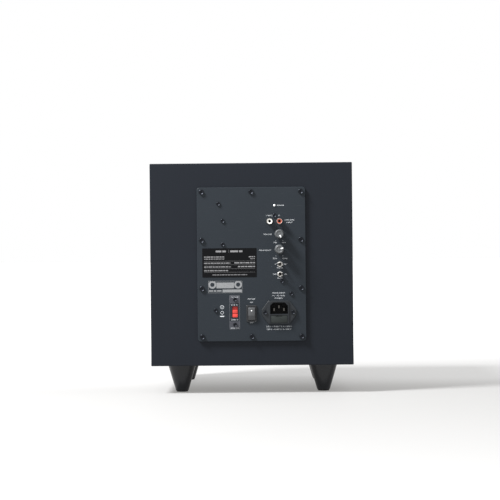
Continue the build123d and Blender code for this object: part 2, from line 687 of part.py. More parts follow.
def control_shaft_space(point):
    """The shaft's shape a hair larger, to cut the knob's bore."""
    space = rod(PANEL_FACE, PANEL_FACE + SHAFT_END + 0.1, SHAFT_R + 0.02, point)
    flat = slab(PANEL_FACE + BUSH_PROUD + 1, PANEL_FACE + SHAFT_END + 1, Pos(0, 3.22) * Rectangle(8, 3.4), point)
    return space - flat


# ---------------------------------------------------------------- toggle switches
TOGGLE_PROUD = 5.5
TOGGLE_D = 9.0
LEVER_TIP = 13.0
LEVER_PIVOT = PANEL_FACE + 0.5
BALL_R = 2.0


def toggle_bodies():
    """Two sub-miniature switches: a case behind the panel and a bored bush through it."""
    switches = []
    mouth = PANEL_FACE + TOGGLE_PROUD
    for point in (PHASE_AT, AUTO_AT):
        switch = slab(PANEL_BACK - TOGGLE_D, PANEL_BACK, Rectangle(12.5, 7), point)
        switch += rod(PANEL_BACK - 1, mouth, TOGGLE_BUSH_R, point)
        switch -= rod(LEVER_PIVOT - 6, mouth - 2, BALL_R + FREE, point)
        bore = Cone(BALL_R + FREE, BALL_R + 2 * FREE + 0.1, 3, align=(Align.CENTER, Align.CENTER, Align.MIN))
        switches.append(switch - behind(mouth - 2.5, point) * bore)
    return Part() + switches


def toggle_lever(point, tilt):
    """Bat lever with its pivot ball and tail, tilted about the vertical through the ball."""
    base = (Align.CENTER, Align.CENTER, Align.MIN)
    bat = Cone(1.0, 1.45, LEVER_TIP - 0.5, align=base)
    bat = fillet(bat.edges().filter_by(GeomType.CIRCLE).sort_by(Axis.Z)[-1], 1.1)
    lever = bat + Sphere(BALL_R) + Pos(0, 0, -4) * Cylinder(1.0, 4, align=base)
    return behind(LEVER_PIVOT, point) * Rot(0, tilt, 0) * lever


# ---------------------------------------------------------------- voltage selector
SLIDER_BOSS = (7.6, 10.6)
SLIDER_TRAVEL = 4.6
SLIDER_PLATE = (11.0, 22.0)


def voltage_switch():
    """Switch case behind the panel with ears for its two screws."""
    back = PANEL_BACK - 13
    case = slab(back, PANEL_BACK, Rectangle(14, 29), SELECTOR_AT)
    case += slab(PANEL_BACK - 1.5, PANEL_BACK, RectangleRounded(12, 44, 4), SELECTOR_AT)
    travel = Rectangle(SLIDER_PLATE[0] + 2 * FREE, SLIDER_PLATE[1] + SLIDER_TRAVEL + 2 * FREE)
    case -= slab(PANEL_BACK - 4, PANEL_BACK + 1, travel, SELECTOR_AT)
    for point in pair(SELECTOR_AT, SELECTOR_SCREW_PITCH, across=False):
        case -= rod(PANEL_BACK - 10, PANEL_BACK + 1, MACHINE_SCREW_R + FIT, point)
    return case


def voltage_slider():
    """Slider in its lower place: a plate behind the panel and a grooved boss in the window."""
    low = (SELECTOR_AT[0], SELECTOR_AT[1] - SLIDER_TRAVEL / 2)
    plate = slab(PANEL_BACK - 3.5, PANEL_BACK - FREE, Rectangle(*SLIDER_PLATE), low)
    boss = slab(PANEL_BACK - 1, PANEL_FACE - 0.4, RectangleRounded(*SLIDER_BOSS, 0.8), low)
    return plate + boss - slab(PANEL_FACE - 1.6, PANEL_FACE, Rectangle(SLIDER_BOSS[0], 1.2), low)


# ---------------------------------------------------------------- power switch
ROCKER_PIVOT = PANEL_FACE - 1.5
ROCKER_R = 9.6
ROCKER_W = 9.6
ROCKER_RISE = 6.3
ROCKER_RIDGE = -1.4  # height of the ridge from the rocker's middle
BEZEL_SIZE = (15.0, 24.0)
BEZEL_T = 1.8
AXLE_R = 1.25


def rocker_axle(radius, length):
    """Bar along X through the rocker's pivot."""
    place = Pos(-ROCKER_AT[0], ROCKER_PIVOT, CENTRE_Z + ROCKER_AT[1])
    return place * Rot(0, 90, 0) * Cylinder(radius, length)


def power_switch():
    """Bezel on the panel and the switch's case behind it, hollow for the rocker."""
    case = slab(PANEL_BACK - 17, PANEL_FACE, Rectangle(*ROCKER_BODY), ROCKER_AT)
    bezel = slab(PANEL_FACE, PANEL_FACE + BEZEL_T, RectangleRounded(*BEZEL_SIZE, 1.6), ROCKER_AT)
    bezel = chamfer(bezel.faces().sort_by(Axis.Y)[-1].edges(), 0.6)
    hollow = Rectangle(ROCKER_W + 2 * FREE, 2 * (ROCKER_R + FREE))
    case = case + bezel - slab(ROCKER_PIVOT - 7, PANEL_FACE + BEZEL_T + 1, hollow, ROCKER_AT)
    case -= rocker_axle(AXLE_R + RUNNING, ROCKER_BODY[0] - 0.6)
    blades = [slab(PANEL_BACK - 25, PANEL_BACK - 17, Pos(0, side * 5) * Rectangle(4.8, 0.8), ROCKER_AT)
              for side in (-1, 1)]
    return case + blades


def power_rocker():
    """Rocker at rest with its lower half pressed, so that its upper half lies level with the panel."""
    reach = ROCKER_R + 2
    slope = tan(radians(ROCKER_TILT))
    outline = [(-3, -reach), (ROCKER_RISE - slope * (reach + ROCKER_RIDGE), -reach),
               (ROCKER_RISE, ROCKER_RIDGE),
               (ROCKER_RISE - slope * (reach - ROCKER_RIDGE), reach), (-3, reach)]
    roof = Plane.YZ * make_face(Polyline(*outline, close=True))
    body = extrude(roof, amount=ROCKER_W / 2, both=True)
    body &= Rot(0, 90, 0) * Cylinder(ROCKER_R, ROCKER_W)
    body = fillet(body.edges().filter_by(Axis.X).sort_by(Axis.Y)[-1], 1.2)
    place = Pos(-ROCKER_AT[0], ROCKER_PIVOT, CENTRE_Z + ROCKER_AT[1])
    return place * Rot(-ROCKER_TILT, 0, 0) * body + rocker_axle(AXLE_R, ROCKER_W + 1.6)


# ---------------------------------------------------------------- mains inlet, (across, up) from its own centre
INLET_D = 27.0
CAVITY_SIZE = (25.4, 16.4)
CAVITY_UP = 5.9
CAVITY_DEPTH = 17.0
DRAWER_SIZE = (23.4, 10.8)
DRAWER_UP = -9.6
DRAWER_D = 22.0
PIN_PLACES = ((-7.0, CAVITY_UP - 2.0), (0.0, CAVITY_UP + 2.0), (7.0, CAVITY_UP - 2.0))
INLET_PROUD = 3.4
INLET_FACE = PANEL_FACE + INLET_PROUD


def inlet_point(across, up):
    """A point on the inlet as a point on the panel."""
    return (INLET_AT[0] + across, INLET_AT[1] + up)


def cavity_outline():
    """Plug recess with its two upper corners cut off."""
    half_w, half_h, cut = CAVITY_SIZE[0] / 2, CAVITY_SIZE[1] / 2, 4.5
    corners = [(-half_w, -half_h), (half_w, -half_h), (half_w, half_h - cut), (half_w - cut, half_h)]
    corners += [(cut - half_w, half_h), (-half_w, half_h - cut)]
    return make_face(Polyline(*corners, close=True))


def flange_outline():
    """Flange with an ear at each side for a screw."""
    half_w, half_h, ear = INLET_BODY[0] / 2 + 1.2, INLET_BODY[1] / 2 + 0.6, INLET_SCREW_PITCH / 2 + 5
    corners = [(-half_w, half_h), (half_w, half_h), (ear, 3.5), (ear, -3.5), (half_w, -half_h)]
    corners += [(-half_w, -half_h), (-ear, -3.5), (-ear, 3.5)]
    face = make_face(Polyline(*corners, close=True))
    return fillet(face.vertices(), 2)


def inlet_housing():
    """Appliance inlet: flange with ears, raised frame, plug recess above and drawer slot below."""
    housing = slab(PANEL_FACE, PANEL_FACE + FLANGE_PROUD, flange_outline(), INLET_AT)
    housing = chamfer(housing.faces().sort_by(Axis.Y)[-1].edges(), 0.5)
    housing += slab(PANEL_BACK - INLET_D, PANEL_FACE, Rectangle(*INLET_BODY), INLET_AT)
    housing += slab(PANEL_FACE, INLET_FACE, RectangleRounded(*INLET_BODY, 1.5), INLET_AT)
    housing -= slab(INLET_FACE - CAVITY_DEPTH, INLET_FACE + 1, cavity_outline(), inlet_point(0, CAVITY_UP))
    slot = Rectangle(DRAWER_SIZE[0] + 2 * FREE, DRAWER_SIZE[1] + 2 * FREE)
    housing -= slab(INLET_FACE - DRAWER_D - FREE, INLET_FACE + 1, slot, inlet_point(0, DRAWER_UP))
    for place in PIN_PLACES:
        housing -= slab(PANEL_BACK - INLET_D - 1, INLET_FACE, Rectangle(2, 4), inlet_point(*place))
    for point in pair(INLET_AT, INLET_SCREW_PITCH):
        housing -= rod(PANEL_FACE - 1, INLET_FACE, MACHINE_SCREW_R + FIT, point)
    return housing


def inlet_pins():
    """Three blades from the plug recess to the tabs behind the inlet."""
    back, front = PANEL_BACK - INLET_D - 8, INLET_FACE - 3.5
    return Part() + [slab(back, front, Rectangle(2, 4), inlet_point(*place)) for place in PIN_PLACES]


FUSE_DEPTH = 15.0


def fuse_drawer():
    """Drawer pushed home, with a cradle for one fuse and a lip to pull it by."""
    face = INLET_FACE - 0.3
    at = inlet_point(0, DRAWER_UP)
    drawer = slab(INLET_FACE - DRAWER_D, face, Rectangle(*DRAWER_SIZE), at)
    cradle = Pos(0, 1) * Rectangle(20.6, DRAWER_SIZE[1] - 1.4)
    drawer -= slab(INLET_FACE - FUSE_DEPTH - 3, INLET_FACE - FUSE_DEPTH + 3, cradle, at)
    return drawer - slab(face - 1.2, face + 1, Pos(0, DRAWER_SIZE[1] / 2 - 1.4) * Rectangle(9, 1.4), at)


def fuse():
    """Glass fuse, 5 by 20, lying across the drawer."""
    across, up = inlet_point(0, DRAWER_UP)
    tube = Rot(0, 90, 0) * Cylinder(2.5, 20)
    caps = [Pos(s * 7.5, 0, 0) * Rot(0, 90, 0) * Cylinder(2.6, 5) for s in (-1, 1)]
    return Pos(-across, INLET_FACE - FUSE_DEPTH, CENTRE_Z + up - 0.9) * (tube + caps)


# ---------------------------------------------------------------- electronics
PCB_T = 1.6
PCB_BACK = PANEL_BACK - SPACER_H - PCB_T
HEATSINK_AT = (-40.0, 53.5)
HEATSINK_SIZE = (44.0, 83.0)
FIN_COUNT = 8
FIN_T = 1.8


def pcb_spacers():
    """Threaded pillars between the panel and the boards."""
    pillars = []
    for point in BOARD_SCREWS:
        pillar = slab(PANEL_BACK - SPACER_H, PANEL_BACK, RegularPolygon(3, 6), point)
        pillars.append(pillar - rod(PANEL_BACK - SPACER_H - 1, PANEL_BACK + 1, MACHINE_SCREW_R + FIT, point))
    return Part() + pillars


def main_pcb():
    """Two circuit boards on the spacers: the amplifier's, and the supply's beside the inlet."""
    amplifier = slab(PCB_BACK, PCB_BACK + PCB_T, Rectangle(76, 141), (24, 24))
    supply = slab(PCB_BACK, PCB_BACK + PCB_T, Rectangle(26, 44), (-49, -68))
    return Part() + [amplifier, supply]


CAPACITORS = ((2.0, 78.0), (2.0, 50.0))


def capacitors():
    """Reservoir capacitors standing on the amplifier's board."""
    cans = []
    for point in CAPACITORS:
        can = rod(PCB_BACK - 35, PCB_BACK, 11, point)
        cans.append(fillet(can.edges().filter_by(GeomType.CIRCLE), 1.2))
    return Part() + cans


def heatsink():
    """Aluminium extrusion screwed to the panel's back, its fins upright."""
    width, height = HEATSINK_SIZE
    sink = slab(PANEL_BACK - 5, PANEL_BACK, Rectangle(width, height), HEATSINK_AT)
    pitch = (width - FIN_T) / (FIN_COUNT - 1)
    for i in range(FIN_COUNT):
        across = HEATSINK_AT[0] - width / 2 + FIN_T / 2 + i * pitch
        sink += slab(PANEL_BACK - 30, PANEL_BACK - 5, Rectangle(FIN_T, height), (across, HEATSINK_AT[1]))
    for point in HEATSINK_SCREWS:
        sink -= rod(PANEL_BACK - 9, PANEL_BACK + 1, MACHINE_SCREW_R + FIT, point)
    return sink


def transformer():
    """Mains transformer: laminated core with its winding through it."""
    at = (-40, -18)
    core = slab(PANEL_BACK - 40, PANEL_BACK, Rectangle(44, 38), at)
    winding = slab(PANEL_BACK - 34, PANEL_BACK - 6, RectangleRounded(28, 52, 4), at)
    return core + winding


LEAD_R = 1.4


def speaker_leads():
    """Two insulated leads from the amplifier's board, through the brace, to the woofer's tags."""
    leads = []
    frame = terminal_frame()
    for side in (-1, 1):
        tag = (frame.location * Pos(12, -side * 4.5, 0.6)).position
        shift = side * 3
        route = [(shift - 34, PCB_BACK, 222), (shift - 34, PCB_BACK - 24, 222), (shift - 20, 62, 240)]
        route += [(shift + 4, 22, 252), (shift + 36, -28, 250), (tag.X, tag.Y + 34, tag.Z), tuple(tag)]
        path = FilletPolyline(*route, radius=20)
        section = Plane(origin=path @ 0, z_dir=path % 0) * Circle(LEAD_R)
        leads.append(sweep(section, path))
    return Part() + leads


# ================================================================ write one file per piece
PIECES = {
    "cabinet_top": cabinet_top,
    "cabinet_bottom": cabinet_bottom,
    "cabinet_left": lambda: cabinet_side(-1),
    "cabinet_right": lambda: cabinet_side(1),
    "front_baffle": front_baffle,
    "rear_board": rear_board,
    "cabinet_brace": cabinet_brace,
    "port_tube": port_tube,
    "acoustic_wadding": acoustic_wadding,
    "feet": feet,
    "foot_pads": foot_pads,
    "foot_screws": foot_screws,
    "grille_frame": grille_frame,
    "grille_cloth": grille_cloth,
    "grille_cups": grille_cups,
    "woofer_basket": woofer_basket,
    "woofer_gasket": woofer_gasket,
    "woofer_screws": woofer_screws,
    "woofer_cone": woofer_cone,
    "woofer_dust_cap": woofer_dust_cap,
    "woofer_surround": woofer_surround,
    "woofer_spider": woofer_spider,
    "voice_coil": voice_coil,
    "woofer_top_plate": woofer_top_plate,
    "woofer_magnet": woofer_magnet,
    "woofer_yoke": woofer_yoke,
    "woofer_terminals": woofer_terminals,
    "amp_gasket": amp_gasket,
    "amp_panel": amp_panel,
    "panel_screws": panel_screws,
    "module_screws": module_screws,
    "rating_label": rating_label,
    "power_led": power_led,
    "rca_block": rca_block,
    "rca_shells": rca_shells,
    "rca_white_insert": lambda: rca_insert(-1),
    "rca_red_insert": lambda: rca_insert(1),
    "control_pots": control_pots,
    "control_nuts": control_nuts,
    "volume_shaft": lambda: control_shaft(VOLUME_AT),
    "volume_knob": lambda: control_knob(VOLUME_AT, VOLUME_POINTER),
    "frequency_shaft": lambda: control_shaft(FREQUENCY_AT),
    "frequency_knob": lambda: control_knob(FREQUENCY_AT, FREQUENCY_POINTER),
    "toggle_bodies": toggle_bodies,
    "phase_lever": lambda: toggle_lever(PHASE_AT, -TOGGLE_TILT),
    "auto_lever": lambda: toggle_lever(AUTO_AT, TOGGLE_TILT),
    "voltage_switch": voltage_switch,
    "voltage_slider": voltage_slider,
    "power_switch": power_switch,
    "power_rocker": power_rocker,
    "inlet_housing": inlet_housing,
    "inlet_pins": inlet_pins,
    "fuse_drawer": fuse_drawer,
    "fuse": fuse,
    "pcb_spacers": pcb_spacers,
    "main_pcb": main_pcb,
    "capacitors": capacitors,
    "heatsink": heatsink,
    "transformer": transformer,
    "speaker_leads": speaker_leads,
}

os.makedirs("parts", exist_ok=True)
for name, make in PIECES.items():
    export_step(make(), f"parts/{name}.step")
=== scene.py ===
"""Compact active subwoofer: its finishes, small parts, print, soft parts and studio."""

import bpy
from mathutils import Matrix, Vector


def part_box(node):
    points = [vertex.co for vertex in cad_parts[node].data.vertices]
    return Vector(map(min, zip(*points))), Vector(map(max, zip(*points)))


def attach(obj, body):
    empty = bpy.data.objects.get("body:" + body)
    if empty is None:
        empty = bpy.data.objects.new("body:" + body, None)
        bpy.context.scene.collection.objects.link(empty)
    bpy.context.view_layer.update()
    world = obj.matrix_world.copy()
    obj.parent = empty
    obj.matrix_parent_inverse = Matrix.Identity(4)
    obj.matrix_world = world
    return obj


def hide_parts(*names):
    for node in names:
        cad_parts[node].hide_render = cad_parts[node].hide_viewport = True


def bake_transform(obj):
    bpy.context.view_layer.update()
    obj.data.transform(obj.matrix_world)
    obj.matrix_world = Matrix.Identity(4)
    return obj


bl_info = {
    "name": "Compact Subwoofer",
    "version": (1, 0, 0),
    "blender": (4, 5, 0),
    "location": "3D View > Sidebar > Subwoofer",
    "description": "Dresses a compact active subwoofer's frame with finishes, controls, print and cloth",
    "category": "Add Mesh",
}

from math import cos, hypot, pi, radians, sin, sqrt, tau

import bmesh
import bpy
from bpy.props import FloatProperty, FloatVectorProperty, IntProperty, PointerProperty
from mathutils import Matrix, Vector

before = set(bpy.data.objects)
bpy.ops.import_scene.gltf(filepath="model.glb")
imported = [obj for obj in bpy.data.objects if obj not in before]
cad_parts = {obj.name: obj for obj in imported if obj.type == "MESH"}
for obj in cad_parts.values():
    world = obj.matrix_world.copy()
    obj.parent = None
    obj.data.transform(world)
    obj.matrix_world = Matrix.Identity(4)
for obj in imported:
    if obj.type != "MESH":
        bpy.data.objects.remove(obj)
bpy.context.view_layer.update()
MM = 0.001


# ================================================================ places read from the frame
def middle(node):
    """Centre of a node's box."""
    low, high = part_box(node)
    return (Vector(low) + Vector(high)) / 2


PANEL_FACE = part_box("amp_panel")[1][1]
PANEL_MIDDLE = middle("amp_panel")
BAFFLE_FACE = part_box("front_baffle")[0][1]
WOOFER_Z = middle("woofer_basket").z
CABINET_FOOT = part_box("cabinet_bottom")[0][2]
REAR_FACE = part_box("rear_board")[1][1]


def on_panel(across, up, out=0.0, turn=0.0):
    """Place on the rear panel in millimetres: X is across and Y is up seen from behind, Z points out."""
    axes = Matrix(((-1, 0, 0, 0), (0, 0, 1, 0), (0, 1, 0, 0), (0, 0, 0, 1)))
    origin = Vector((PANEL_MIDDLE.x, PANEL_FACE, PANEL_MIDDLE.z))
    shift = Matrix.Translation(Vector((across, up, out)) * MM)
    return Matrix.Translation(origin) @ axes @ shift @ Matrix.Rotation(radians(turn), 4, "Z")


def on_woofer():
    """Place on the woofer's axis at the baffle's face: Z points into the cabinet."""
    axes = Matrix(((1, 0, 0, 0), (0, 0, 1, 0), (0, -1, 0, 0), (0, 0, 0, 1)))
    return Matrix.Translation((0, BAFFLE_FACE, WOOFER_Z)) @ axes


def upright(x, y, z=0.0):
    """Place with Z up."""
    return Matrix.Translation((x, y, z))


def panel_spot(node):
    """A node's centre as (across, up) on the panel in millimetres."""
    offset = middle(node) - PANEL_MIDDLE
    return (-offset.x / MM, offset.z / MM)


# ================================================================ sizes and colours a user would change
def tint(name, description, default):
    """A colour that a user may change."""
    return FloatVectorProperty(name=name, description=description, default=default, subtype="COLOR")


def length(name, description, default):
    """A length in metres that a user may change."""
    return FloatProperty(name=name, description=description, default=default, unit="LENGTH")


class SubwooferColours(bpy.types.PropertyGroup):
    """Base colours of the finishes."""

    laminate: tint("Laminate", "Cabinet boards", (0.0094, 0.0115, 0.0158))
    panel: tint("Panel paint", "Amplifier panel", (0.0121, 0.0163, 0.0214))
    ink: tint("Ink", "Printed legends", (0.5, 0.52, 0.54))
    label: tint("Label film", "Rating label", (0.0024, 0.0025, 0.0032))
    knob: tint("Knobs", "Knob plastic", (0.075, 0.08, 0.083))
    selector: tint("Selector", "Voltage selector", (0.52, 0.047, 0.037))
    cloth: tint("Grille cloth", "Yarn of the cloth", (0.012, 0.0125, 0.014))
    cone: tint("Cone", "Woofer cone", (0.014, 0.014, 0.015))


class SubwooferSizes(bpy.types.PropertyGroup):
    """Sizes of the pieces that this script makes."""

    cap_height: length("Capital height", "Height of a printed capital", 0.0018)
    ink_thickness: length("Ink thickness", "How proud print stands", 0.00006)
    panel_screw: length("Panel screw", "Head radius round the panel", 0.0036)
    module_screw: length("Module screw", "Head radius on the modules", 0.0028)
    woofer_screw: length("Woofer screw", "Head radius on the flange", 0.0038)
    flutes: IntProperty(name="Flutes", description="Flutes round a knob", default=20, min=3)
    weave: length("Weave pitch", "Distance between the cloth's holes", 0.0012)
    sectors: IntProperty(name="Sectors", description="Pieces of a flexing ring", default=24, min=12)


class SubwooferStudio(bpy.types.PropertyGroup):
    """Camera and lights."""

    azimuth: FloatProperty(
        name="Azimuth", description="Camera's turn from dead behind", default=radians(0.5), subtype="ANGLE"
    )
    roll: FloatProperty(name="Roll", description="Camera's roll", default=radians(-0.53), subtype="ANGLE")
    height: length("Height", "Height the camera looks at", 0.2053)
    distance: length("Distance", "Camera to the rear face", 2.187)
    lens: FloatProperty(name="Lens", description="Focal length", default=110.0, unit="CAMERA")
    key_power: FloatProperty(name="Key light", description="Power of the key", default=130.0, unit="POWER")
    surround_light: FloatProperty(name="Surround", description="Strength of the white room", default=1.0)


# ================================================================ materials
class Tone:
    """A socket of a material, used in ordinary arithmetic."""

    def __init__(self, paint, socket):
        self.paint = paint
        self.socket = socket

    def math(self, operation, *others):
        return self.paint.node("ShaderNodeMath", {"operation": operation}, dict(enumerate((self, *others))))

    def __add__(self, other):
        return self.math("ADD", other)

    __radd__ = __add__

    def __sub__(self, other):
        return self.math("SUBTRACT", other)

    def __rsub__(self, other):
        return self.math("MULTIPLY_ADD", -1.0, other)

    def __mul__(self, other):
        return self.math("MULTIPLY", other)

    __rmul__ = __mul__

    def __pow__(self, other):
        return self.math("POWER", other)


class Paint:
    """One procedural material round a Principled surface."""

    def __init__(self, name, colour, roughness=0.5, metallic=0.0, specular=0.2, **constants):
        self.material = bpy.data.materials.new(name)
        self.material.use_nodes = True
        self.tree = self.material.node_tree
        self.tree.nodes.clear()
        self.surface = self.tree.nodes.new("ShaderNodeBsdfPrincipled")
        output = self.tree.nodes.new("ShaderNodeOutputMaterial")
        self.tree.links.new(self.surface.outputs[0], output.inputs["Surface"])
        self.colour = (*colour, 1.0)
        self.roughness = roughness
        fixed = {"Base Color": self.colour, "Roughness": roughness, "Metallic": metallic}
        fixed["Specular IOR Level"] = specular
        fixed.update({key.replace("_", " "): value for key, value in constants.items()})
        self.feed(**fixed)

    def feed(self, **sockets):
        """Set or link the surface's own sockets."""
        self._plug(self.surface, sockets)
        return self.material

    def _plug(self, node, sockets):
        for key, value in sockets.items():
            socket = node.inputs[key]
            if isinstance(value, Tone):
                self.tree.links.new(value.socket, socket)
            else:
                socket.default_value = value

    def done(self, colour, roughness, normal, **others):
        """Feed the sockets that every finish varies, and give the material."""
        return self.feed(**{"Base Color": colour, "Roughness": roughness, "Normal": normal, **others})

    def node(self, kind, settings=None, sockets=None, output=0):
        """Add one node: its settings first, then its sockets."""
        node = self.tree.nodes.new(kind)
        for key, value in (settings or {}).items():
            setattr(node, key, value)
        self._plug(node, sockets or {})
        return Tone(self, node.outputs[output])

    def place(self, scale=(1, 1, 1), turn=(0, 0, 0), source="Object"):
        """Coordinates in metres times scale."""
        coordinates = self.node("ShaderNodeTexCoord", output=source)
        sockets = {"Vector": coordinates, "Scale": scale, "Rotation": turn}
        return self.node("ShaderNodeMapping", None, sockets)

    def noise(self, scale, detail=2.0, where=None, rough=0.5):
        """Soft noise with features of about 1 / scale metres."""
        where = where or self.place()
        sockets = {"Vector": where, "Scale": scale, "Detail": detail, "Roughness": rough}
        return self.node("ShaderNodeTexNoise", None, sockets)

    def cells(self, scale, where=None, feature="F1"):
        """Distance to the nearest of scattered points."""
        where = where or self.place()
        return self.node("ShaderNodeTexVoronoi", {"feature": feature}, {"Vector": where, "Scale": scale})

    def split(self, vector):
        """The three parts of a vector."""
        node = self.tree.nodes.new("ShaderNodeSeparateXYZ")
        self._plug(node, {"Vector": vector})
        return [Tone(self, output) for output in node.outputs]

    def ramp(self, value, low, high):
        """Value spread so that low becomes 0 and high becomes 1, smoothly."""
        sockets = {"Value": value, "From Min": low, "From Max": high}
        return self.node("ShaderNodeMapRange", {"interpolation_type": "SMOOTHSTEP"}, sockets)

    def mix(self, factor, first, second):
        """Colour between first and second."""
        sockets = {0: factor, 6: first, 7: second}
        return self.node("ShaderNodeMix", {"data_type": "RGBA"}, sockets, output=2)

    def shade(self, factor, darkest, lightest):
        """The base colour between two shares of itself."""
        low = tuple(part * darkest for part in self.colour[:3]) + (1.0,)
        high = tuple(part * lightest for part in self.colour[:3]) + (1.0,)
        return self.mix(factor, low, high)

    def bump(self, height, distance, strength=1.0):
        """Normal raised by height times distance."""
        sockets = {"Height": height, "Distance": distance, "Strength": strength}
        return self.node("ShaderNodeBump", None, sockets)


def textured(name, colour, roughness, grain, depth, spread=0.12, wander=0.1, **constants):
    """Moulded or painted finish: fine grain, a slow drift in colour and gloss."""
    paint = Paint(name, colour, roughness, **constants)
    fine = paint.noise(grain, 3.0)
    slow = paint.noise(18.0, 3.0)
    return paint.done(
        paint.shade(slow * 0.6 + fine * 0.4, 1 - spread, 1 + spread),
        (slow * 0.7 + fine * 0.3) * wander + (roughness - wander / 2),
        paint.bump(fine, depth),
    )


def laminate_finish(colour):
    """Satin laminate: an even tone with a faint upright grain, fine pores and rubbed patches."""
    paint = Paint("slate_laminate", colour, 0.42, specular=0.12)
    grain = paint.noise(1.0, 5.0, paint.place((650, 650, 26)), 0.6)
    pores = paint.noise(2600.0, 2.0)
    rubbed = paint.ramp(paint.noise(9.0, 4.0), 0.42, 0.7)
    tone = grain * 0.55 + pores * 0.25 + rubbed * 0.2
    return paint.done(
        paint.shade(tone, 0.86, 1.14),
        rubbed * -0.07 + pores * 0.1 + 0.4,
        paint.bump(grain * 0.6 + pores * 0.4, 0.00006),
    )


def panel_finish(colour):
    """Fine powder coat on sheet steel, with a few handling marks."""
    paint = Paint("panel_powder_coat", colour, 0.5, specular=0.2)
    beads = paint.cells(2300.0)
    slow = paint.noise(14.0, 4.0)
    scuffs = paint.ramp(paint.noise(1.0, 4.0, paint.place((60, 60, 900), (0, 0.6, 0))), 0.63, 0.72)
    tone = slow * 0.75 + beads * 0.25
    return paint.done(
        paint.mix(scuffs * 0.12, paint.shade(tone, 0.88, 1.12), (0.05, 0.055, 0.06, 1)),
        slow * 0.1 + beads * 0.12 + 0.42 - scuffs * 0.08,
        paint.bump(beads, 0.00004),
    )


def metal_finish(name, colour, roughness, brushed=0.0, tarnish=0.15):
    """Plated or bare metal with fine scratches and a little tarnish."""
    paint = Paint(name, colour, roughness, 1.0, 0.5)
    scratches = paint.noise(1.0, 3.0, paint.place((4000, 300, 4000)))
    cloud = paint.ramp(paint.noise(160.0, 4.0), 0.45, 0.75)
    return paint.done(
        paint.shade(cloud, 1.0, 1.0 - tarnish),
        cloud * 0.12 + scratches * (0.08 + brushed) + roughness - 0.05,
        paint.bump(scratches, 0.000004 + brushed * 0.00002),
    )


def label_finish(colour):
    """Glossy printed film with the orange peel of its adhesive."""
    paint = Paint("rating_film", colour, 0.3, specular=0.1)
    peel = paint.noise(420.0, 2.0)
    dust = paint.ramp(paint.noise(2400.0, 2.0), 0.66, 0.8)
    return paint.done(
        paint.mix(dust * 0.1, (*colour, 1), (0.03, 0.03, 0.03, 1)),
        dust * 0.2 + peel * 0.08 + 0.28,
        paint.bump(peel, 0.00002),
    )


def ink_finish(name, colour):
    """Screen-printed ink, thinner and greyer in spots."""
    paint = Paint(name, colour, 0.6, specular=0.3)
    body = paint.noise(3800.0, 3.0)
    thin = paint.ramp(paint.noise(900.0, 3.0), 0.35, 0.6)
    return paint.done(
        paint.shade(thin * 0.7 + body * 0.3, 0.82, 1.06),
        body * 0.15 + 0.52,
        paint.bump(body, 0.00001),
    )


def cloth_finish(colour, pitch):
    """Knitted acoustic cloth: rows of small holes between yarns, read from its own flat pattern."""
    paint = Paint("acoustic_cloth", colour, 0.85, specular=0.12, Sheen_Weight=0.25, Sheen_Roughness=0.4)
    turns = tau / pitch
    across, up, _ = paint.split(paint.place(source="UV"))
    wale = (across * turns).math("SINE")
    course = (up * turns + wale * 0.5).math("SINE")
    yarn = paint.ramp(wale * course, -0.7, 0.55)
    fuzz = paint.noise(1700.0, 3.0, paint.place(source="UV"))
    slub = paint.noise(1.0, 3.0, paint.place((18, 240, 1), source="UV"))
    return paint.done(
        paint.shade(yarn * 0.6 + fuzz * 0.25 + slub * 0.15, 0.35, 1.5),
        fuzz * 0.15 + 0.78,
        paint.bump(yarn * 0.8 + fuzz * 0.2, 0.0002, 0.8),
    )


def cone_finish(colour):
    """Coated paper pulp: fibres, and faint rings round the axis."""
    paint = Paint("coated_pulp", colour, 0.55, specular=0.25)
    x, _, z = paint.split(paint.place())
    lift = z - WOOFER_Z
    radius = (x * x + lift * lift) ** 0.5
    rings = (radius * (tau / 0.0045)).math("SINE")
    fibres = paint.noise(1.0, 5.0, paint.place((900, 500, 900)), 0.65)
    return paint.done(
        paint.shade(fibres, 0.7, 1.35),
        fibres * 0.3 + 0.38,
        paint.bump(fibres * 0.7 + rings * 0.15, 0.00012),
    )


def spider_finish():
    """Woven cotton dipped in phenolic resin."""
    paint = Paint("resin_cotton", (0.32, 0.17, 0.05), 0.7, specular=0.25)
    x, _, z = paint.split(paint.place())
    turns = tau / 0.0009
    weave = (x * turns).math("SINE") * (z * turns).math("SINE")
    stain = paint.noise(70.0, 4.0)
    return paint.done(
        paint.shade(weave * 0.25 + stain * 0.8, 0.6, 1.25),
        stain * 0.2 + 0.6,
        paint.bump(weave, 0.00008),
    )


def board_finish():
    """Bare fibreboard: pale fibres and darker flecks."""
    paint = Paint("bare_fibreboard", (0.33, 0.22, 0.12), 0.85, specular=0.15)
    fibres = paint.noise(1.0, 6.0, paint.place((420, 420, 160)), 0.7)
    flecks = paint.ramp(paint.cells(520.0), 0.05, 0.22)
    return paint.done(
        paint.shade(fibres * 0.7 + flecks * 0.3, 0.62, 1.25),
        fibres * 0.1 + 0.8,
        paint.bump(fibres, 0.0002),
    )


def fibre_finish(name, colour):
    """Loose fibres: wadding or foam."""
    paint = Paint(name, colour, 0.95, specular=0.1, Sheen_Weight=0.3)
    tangle = paint.noise(1.0, 8.0, paint.place((700, 240, 700)), 0.75)
    pits = paint.cells(900.0)
    return paint.done(
        paint.shade(tangle * 0.7 + pits * 0.3, 0.65, 1.2),
        tangle * 0.1 + 0.88,
        paint.bump(tangle * 0.6 + pits * 0.4, 0.0006),
    )


